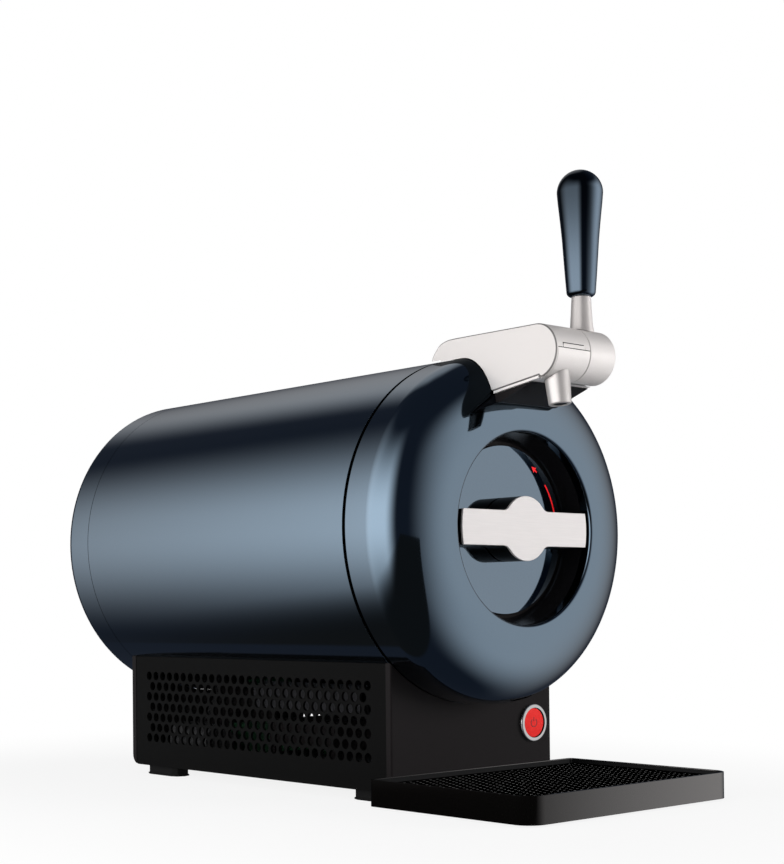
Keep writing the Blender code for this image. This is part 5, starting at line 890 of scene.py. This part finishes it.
BUTTON_STEM = (0.015, 0.004)
MARK_ARC = (0.0027, 0.0034)
MARK_GAP = (130, 410)
MARK_STROKE = (0.00035, 0.001, 0.0042)


def pierced(name, rings, half_thickness):
    """Flat sheet with holes, drawn as closed rings in one plane; the first ring is its edge."""
    curve = bpy.data.curves.new(name, "CURVE")
    curve.dimensions = "2D"
    curve.fill_mode = "BOTH"
    curve.extrude = half_thickness
    for ring in rings:
        line = curve.splines.new("POLY")
        line.points.add(len(ring) - 1)
        for point, (across, up) in zip(line.points, ring):
            point.co = (across, up, 0, 1)
        line.use_cyclic_u = True
    item = bpy.data.objects.new(name, curve)
    bpy.context.collection.objects.link(item)
    bpy.context.view_layer.update()
    data = bpy.data.meshes.new_from_object(item.evaluated_get(bpy.context.evaluated_depsgraph_get()))
    bpy.data.objects.remove(item, do_unlink=True)
    sheet = bpy.data.objects.new(name, data)
    bpy.context.collection.objects.link(sheet)
    return sheet


def barrel_seat():
    """Space of the barrel over the base."""
    return rod(BARREL_RADIUS + SEAT_GAP, "Y", AXIS, -OVERRUN, BASE_BACK + OVERRUN, STEPS_BARREL)


def make_grille(side, name, node):
    """Side panel with staggered rows of round holes."""
    top = AXIS.z - math.sqrt(BARREL_RADIUS ** 2 - GRILLE_EDGE_X ** 2)
    front, back = GRILLE_SET_IN, BASE_BACK - GRILLE_SET_IN
    corner = [point for point in arc(*GRILLE_CORNER, -90, 0, 12) if point[0] < back]
    edge = [(front, top), (front, BASE_BOTTOM)] + corner + [(back, corner[-1][1] + CORNER_STEP), (back, top)]
    rings = [edge]
    for row in range(HOLE_ROWS):
        short = row % 2
        for column in range(HOLE_COLUMNS - short):
            hole_y = HOLE_START[0] + (column + short / 2) * HOLE_PITCH[0]
            rings.append(arc(hole_y, HOLE_START[1] + row * HOLE_PITCH[1], HOLE_RADIUS, 0, 360, 20)[:-1])
    sheet = pierced(name, rings, GRILLE_HALF)
    turn = Matrix(((0, 0, side, side * GRILLE_X), (1, 0, 0, SEAM_Y), (0, 1, 0, 0), (0, 0, 0, 1)))
    sheet.data.transform(turn)
    if side < 0:
        sheet.data.flip_normals()
    grille = piece(name, sheet, BLACK_DULL, "machine", [node], cuts=[barrel_seat()])


def make_base():
    """Front panel, the pierced sides and the power button."""
    inner = BASE_HALF - BASE_WALL
    outline = arc(BASE_HALF - BASE_ROUND, BASE_ROUND, BASE_ROUND, -90, 0, 4)
    outline += [(BASE_HALF, BASE_DEPTH), (inner, BASE_DEPTH), (inner, BASE_WALL), (-inner, BASE_WALL),
                (-inner, BASE_DEPTH), (-BASE_HALF, BASE_DEPTH)]
    outline += arc(-BASE_HALF + BASE_ROUND, BASE_ROUND, BASE_ROUND, 180, 270, 4)
    hole = rod(BUTTON_HOLE, "Y", BUTTON, -OVERRUN, RING_BACK, STEPS_KNOB)
    front = piece("base_front_skin", prism(outline, "Z", BASE_BOTTOM, BASE_TOP), BLACK_SATIN, "machine",
                  ["base_front"], cuts=[barrel_seat(), hole])
    for side, name, node in ((-1, "left_grille", "base_left_grille"),
                             (1, "right_grille", "base_right_grille")):
        make_grille(side, name, node)
    rounded = RING_OUTER - RING_ROUND
    ring = [(RING_FRONT, RING_INNER), (RING_FRONT, rounded - FIT)]
    ring += arc(RING_FRONT + RING_ROUND, rounded, RING_ROUND, 180, 90, 6)
    ring += [(-FIT, RING_OUTER), (-FIT, RING_SEAT), (RING_BACK, RING_SEAT), (RING_BACK, RING_INNER)]
    item = piece("button_ring_skin", turned(ring, "Y", BUTTON), STEEL, "machine", ["button_ring"])
    item.visible_glossy = False
    back = BUTTON_FACE + BUTTON_DEPTH
    stem_back, stem = BUTTON_FACE + BUTTON_STEM[0], BUTTON_STEM[1]
    disc = [(BUTTON_FACE, 0)] + [(BUTTON_FACE + along, radius) for along, radius in BUTTON_EDGE]
    disc += [(BUTTON_FACE + BUTTON_RIM, BUTTON_RADIUS), (back, BUTTON_RADIUS), (back, stem),
             (stem_back, stem), (stem_back, 0)]
    item = piece("power_button_skin", turned(disc, "Y", BUTTON), RED_ANODISED, "button", ["power_button"])
    item.visible_glossy = False
    inner, outer = MARK_ARC
    start, end = MARK_GAP
    half, low, high = MARK_STROKE
    arc_outline = arc(0, 0, outer, start, end, 28) + arc(0, 0, inner, end, start, 28)
    stroke = [(-half, low), (half, low), (half, high), (-half, high)]
    for name, outline in (("power_mark_arc", arc_outline), ("power_mark_stroke", stroke)):
        placed = [(x + BUTTON.x, z + BUTTON.z) for x, z in outline]
        mark = piece(name, prism(placed, "Y", BUTTON_FACE - PRINT, BUTTON_FACE), MARK_RED, "button")
        mark.visible_glossy = False


# ---- Tray

TRAY_HALF = 0.105
TRAY_FRONT = -0.1494
TRAY_BACK = -0.0005
TRAY_CORNER = 0.014
TRAY_BACK_CORNER = 0.004
LEAST_CORNER = 0.0008
TRAY_Z = (0.001, 0.0194)
TRAY_WALL = 0.002
TRAY_FLOOR = 0.0028
TRAY_OPEN = 0.0214
TRAY_EDGE = 0.0004
PAD_RADIUS = 0.008
PAD_X = 0.075
PAD_YS = (-0.030, -0.1194)
PAD_TOP = 0.0019
TONGUE_X = 0.040
TONGUE_HALF = 0.009
TONGUE = (-0.0015, 0.050, 0.0013, 0.0055)
LINING_INSETS = (0.00195, 0.0022)
LINING_Z = (0.0029, 0.0190)
LINING_FLOOR = 0.0031
GRID_INSET = 0.0025
GRID_BACK = -0.0062
GRID_Z = 0.01545
GRID_HALF = 0.00075
GRID_PITCH = 0.0064
GRID_ROWS = 21
GRID_COLUMNS = 15
GRID_START = -0.0130
GRID_HOLE = 0.0009
GRID_HOLES_X = 0.0978
GRID_CORNER = (0.091, -0.1354, 0.0068)


def tray_outline(inset):
    """Plan of the tray."""
    half = TRAY_HALF - inset
    front = TRAY_FRONT + inset
    back = TRAY_BACK - inset
    broad = TRAY_CORNER - inset
    small = max(TRAY_BACK_CORNER - inset, LEAST_CORNER)
    return (arc(half - small, back - small, small, 0, 90, 6)
            + arc(-half + small, back - small, small, 90, 180, 6)
            + arc(-half + broad, front + broad, broad, 180, 270, 24)
            + arc(half - broad, front + broad, broad, 270, 360, 24))


def make_tray():
    """Tray with softened rim and dark lining, and the finely pierced grid."""
    joins = []
    for side in (-1, 1):
        joins += [rod(PAD_RADIUS, "Z", Vector((side * PAD_X, y, 0)), 0, PAD_TOP) for y in PAD_YS]
        joins.append(box(side * TONGUE_X - TONGUE_HALF, side * TONGUE_X + TONGUE_HALF, *TONGUE))
    item = new_object("drip_tray_skin", prism(tray_outline(0), "Z", *TRAY_Z))
    carve(item, "DIFFERENCE", [prism(tray_outline(TRAY_WALL), "Z", TRAY_FLOOR, TRAY_OPEN)])
    tray = piece("drip_tray_skin", item, BLACK_TRAY, "tray", ["drip_tray"], joins=joins, bevel=TRAY_EDGE,
                 segments=2, sharp=50)
    tray.visible_glossy = False
    outer, inner = LINING_INSETS
    item = new_object("tray_lining", prism(tray_outline(outer), "Z", *LINING_Z))
    carve(item, "DIFFERENCE", [prism(tray_outline(inner), "Z", LINING_FLOOR, TRAY_OPEN)])
    lining = piece("tray_lining", item, BLACK_DEEP, "tray")
    lining.visible_glossy = False
    make_grid()


def make_grid():
    """Level sheet with staggered small holes, clear of the tray's front corners."""
    edge = [(x, min(y, GRID_BACK)) for x, y in tray_outline(GRID_INSET)]
    rings = [[point for index, point in enumerate(edge) if point != edge[index - 1]]]
    corner_x, corner_y, reach = GRID_CORNER
    for row in range(GRID_ROWS):
        for column in range(-GRID_COLUMNS, GRID_COLUMNS + 1):
            x_hole = (column + (row % 2) / 2) * GRID_PITCH
            y_hole = GRID_START - row * GRID_PITCH
            corner = Vector((max(abs(x_hole) - corner_x, 0), max(corner_y - y_hole, 0)))
            if abs(x_hole) < GRID_HOLES_X and corner.length < reach:
                rings.append(arc(x_hole, y_hole, GRID_HOLE, 0, 360, 10)[:-1])
    sheet = pierced("drip_grid_skin", rings, GRID_HALF)
    sheet.data.transform(Matrix.Translation((0, SEAM_Y, GRID_Z)))
    grid = piece("drip_grid_skin", sheet, BLACK_PIERCED_GLINTS, "grid", ["drip_grid"])
    grid.visible_glossy = False


# ---- Studio

WORLD_DULL = 0.25
WORLD_LEVEL = 1.3
WORLD_DIM = 0.024
DIM_TINT = (-0.004, 0.002, 0.016)
SOFT_BOXES = ((218, 248, 296, 352, -48, 4, 10, 61, 1.56), (66, 134, 138, 200, -62, -18, 24, 50, 0.65),
              (0, 24, 40, 66, 5, 45, 60, 80, 0.33))
FLOOR_SIZE = 9
FLOOR_DROP = 0.0002
FLOOR_COLOUR = (0.95, 0.95, 0.95)
FLOOR_NEAR = (0.10, 0.25, 0)
FLOOR_FADE = (0.04, 0.42)
FLOOR_OWN = 0.86
DARK_CARD = (-0.45, -0.15, -0.112, -0.103)
DARK_TURN = 0.6
DARK_LEVEL = 0.02
LENS = 66.77
SENSOR = 36
LENS_SHIFT = (0.0321, 0.1705)
CLIP_START = 0.05
CAMERA_PLACE = (-0.83996, -0.92201, 0.13824)
CAMERA_RIGHT = Vector((0.74488, -0.66712, -0.01009))
CAMERA_UP = Vector((-0.00355, -0.01908, 0.99981))
CAMERA_AHEAD = Vector((0.66719, 0.74471, 0.01658))
LAMPS = (("side_soft", (-1.6, -0.05, 0.32), (0, -0.1, 0.22), 0.9, 0.7, 12.5),
         ("front_soft", (1.15, -1.35, 0.34), (0, -0.15, 0.22), 1.0, 0.8, 25),
         ("top_soft", (-0.35, -0.35, 1.7), (0, -0.1, 0.2), 1.4, 1.4, 4))


def area_light(name, place, aim, width, height, power):
    """Soft rectangular light."""
    lamp = bpy.data.lights.new(name, "AREA")
    lamp.shape = "RECTANGLE"
    lamp.size = width
    lamp.size_y = height
    lamp.energy = power
    item = bpy.data.objects.new(name, lamp)
    item.location = place
    item.rotation_euler = (Vector(aim) - Vector(place)).to_track_quat("-Z", "Y").to_euler()
    item.visible_camera = False
    item.visible_glossy = False
    bpy.context.collection.objects.link(item)


def build_soft_boxes(tree, given, result):
    """Brightness of the soft boxes; each is a soft window in bearing from +Y and in height, in degrees."""
    parts = parts_of(tree, tree.nodes.new("ShaderNodeTexCoord").outputs["Generated"])
    bearing = math_node(tree, "ARCTAN2", parts["X"], parts["Y"])
    bearing = math_node(tree, "FLOORED_MODULO", bearing, math.tau)
    height = math_node(tree, "ARCSINE", parts["Z"])
    total = given.outputs["Dim"]
    for *edges, level in SOFT_BOXES:
        rad = [math.radians(edge) for edge in edges]
        light = level
        for value, first in ((bearing, 0), (height, 4)):
            rising = faded(tree, value, rad[first], rad[first + 1], 0, 1)
            light = math_node(tree, "MULTIPLY", light, rising)
            falling = faded(tree, value, rad[first + 2], rad[first + 3], 1, 0)
            light = math_node(tree, "MULTIPLY", light, falling)
        total = math_node(tree, "ADD", total, light)
    tree.links.new(total, result.inputs["Value"])


def make_world():
    """White behind, an even light on dull surfaces and soft boxes in the reflections."""
    world = bpy.data.worlds.new("studio")
    bpy.context.scene.world = world
    world.use_nodes = True
    tree = world.node_tree
    boxes = tree.nodes.new("ShaderNodeGroup")
    boxes.node_tree = group("soft_boxes", build_soft_boxes, (("Value", "NodeSocketFloat"),),
                            (("Dim", WORLD_DIM),))
    glossy = math_node(tree, "MULTIPLY", boxes.outputs["Value"], WORLD_LEVEL)
    path = tree.nodes.new("ShaderNodeLightPath")
    tinted = tree.nodes.new("ShaderNodeCombineXYZ")
    for label, part in zip(("X", "Y", "Z"), DIM_TINT):
        tree.links.new(math_node(tree, "ADD", glossy, part), tinted.inputs[label])
    light = mixed(tree, path.outputs["Is Diffuse Ray"], tinted.outputs["Vector"], WORLD_DULL)
    light = mixed(tree, path.outputs["Is Camera Ray"], light, 1.0)
    tree.links.new(light, tree.nodes["Background"].inputs["Color"])


def shader_between(tree, factor, first, second):
    """Shader between two, by a factor socket."""
    join = tree.nodes.new("ShaderNodeMixShader")
    for socket, value in zip(join.inputs, (factor, first, second)):
        tree.links.new(value, socket)
    return join.outputs["Shader"]


def make_floor():
    """Pale floor that keeps the shadow near the object and turns white further off.

    Reflections see through it, apart from a dark card at the object's left.
    """
    mesh = bmesh.new()
    bmesh.ops.create_grid(mesh, x_segments=1, y_segments=1, size=FLOOR_SIZE)
    data = bpy.data.meshes.new("floor")
    mesh.to_mesh(data)
    mesh.free()
    floor = bpy.data.objects.new("floor", data)
    floor.location.z = -FLOOR_DROP
    bpy.context.collection.objects.link(floor)
    material = finish("floor_pale", FLOOR_COLOUR, 0.7, scale=20, strength=0.0, shade=0.0)
    data.materials.append(material)
    tree = material.node_tree
    place = tree.nodes.new("ShaderNodeTexCoord").outputs["Object"]
    last = vector_node(tree, "ABSOLUTE", place)["Vector"]
    last = vector_node(tree, "SUBTRACT", last, FLOOR_NEAR)["Vector"]
    last = vector_node(tree, "MAXIMUM", last, (0, 0, 0))["Vector"]
    length = vector_node(tree, "LENGTH", last)["Value"]
    path = tree.nodes.new("ShaderNodeLightPath")
    glow = tree.nodes.new("ShaderNodeEmission")
    glow.inputs["Color"].default_value = (1, 1, 1, 1)
    fade = faded(tree, length, *FLOOR_FADE, FLOOR_OWN, 1)
    white = math_node(tree, "MULTIPLY", fade, path.outputs["Is Camera Ray"])
    own = tree.nodes["Principled BSDF"].outputs["BSDF"]
    lit = shader_between(tree, white, own, glow.outputs["Emission"])
    side = parts_of(tree, place)
    turn = math_node(tree, "MULTIPLY", side["Y"], -DARK_TURN)
    far = faded(tree, math_node(tree, "ADD", side["X"], turn), *DARK_CARD[:2], 1, 0)
    near = faded(tree, side["X"], *DARK_CARD[2:], 0, 1)
    dark = tree.nodes.new("ShaderNodeEmission")
    dark.inputs["Strength"].default_value = DARK_LEVEL
    clear = tree.nodes.new("ShaderNodeBsdfTransparent").outputs["BSDF"]
    card = shader_between(tree, math_node(tree, "MAXIMUM", far, near), dark.outputs["Emission"], clear)
    seen = shader_between(tree, path.outputs["Is Glossy Ray"], lit, card)
    tree.links.new(seen, tree.nodes["Material Output"].inputs["Surface"])


def make_camera():
    """Camera fitted to the photograph."""
    lens = bpy.data.cameras.new("camera")
    lens.lens = LENS
    lens.sensor_width = SENSOR
    lens.sensor_fit = "AUTO"
    lens.shift_x, lens.shift_y = LENS_SHIFT
    lens.clip_start = CLIP_START
    turn = Matrix((CAMERA_RIGHT, CAMERA_UP, -CAMERA_AHEAD)).transposed().to_4x4()
    item = bpy.data.objects.new("camera", lens)
    item.matrix_world = Matrix.Translation(CAMERA_PLACE) @ turn
    bpy.context.collection.objects.link(item)
    bpy.context.scene.camera = item


make_barrel()
make_knob()
make_cover()
make_body()
make_nozzle()
make_lever()
make_base()
make_tray()
make_world()
make_floor()
make_camera()
for lamp in LAMPS:
    area_light(*lamp)
bpy.context.scene.view_settings.view_transform = "Standard"
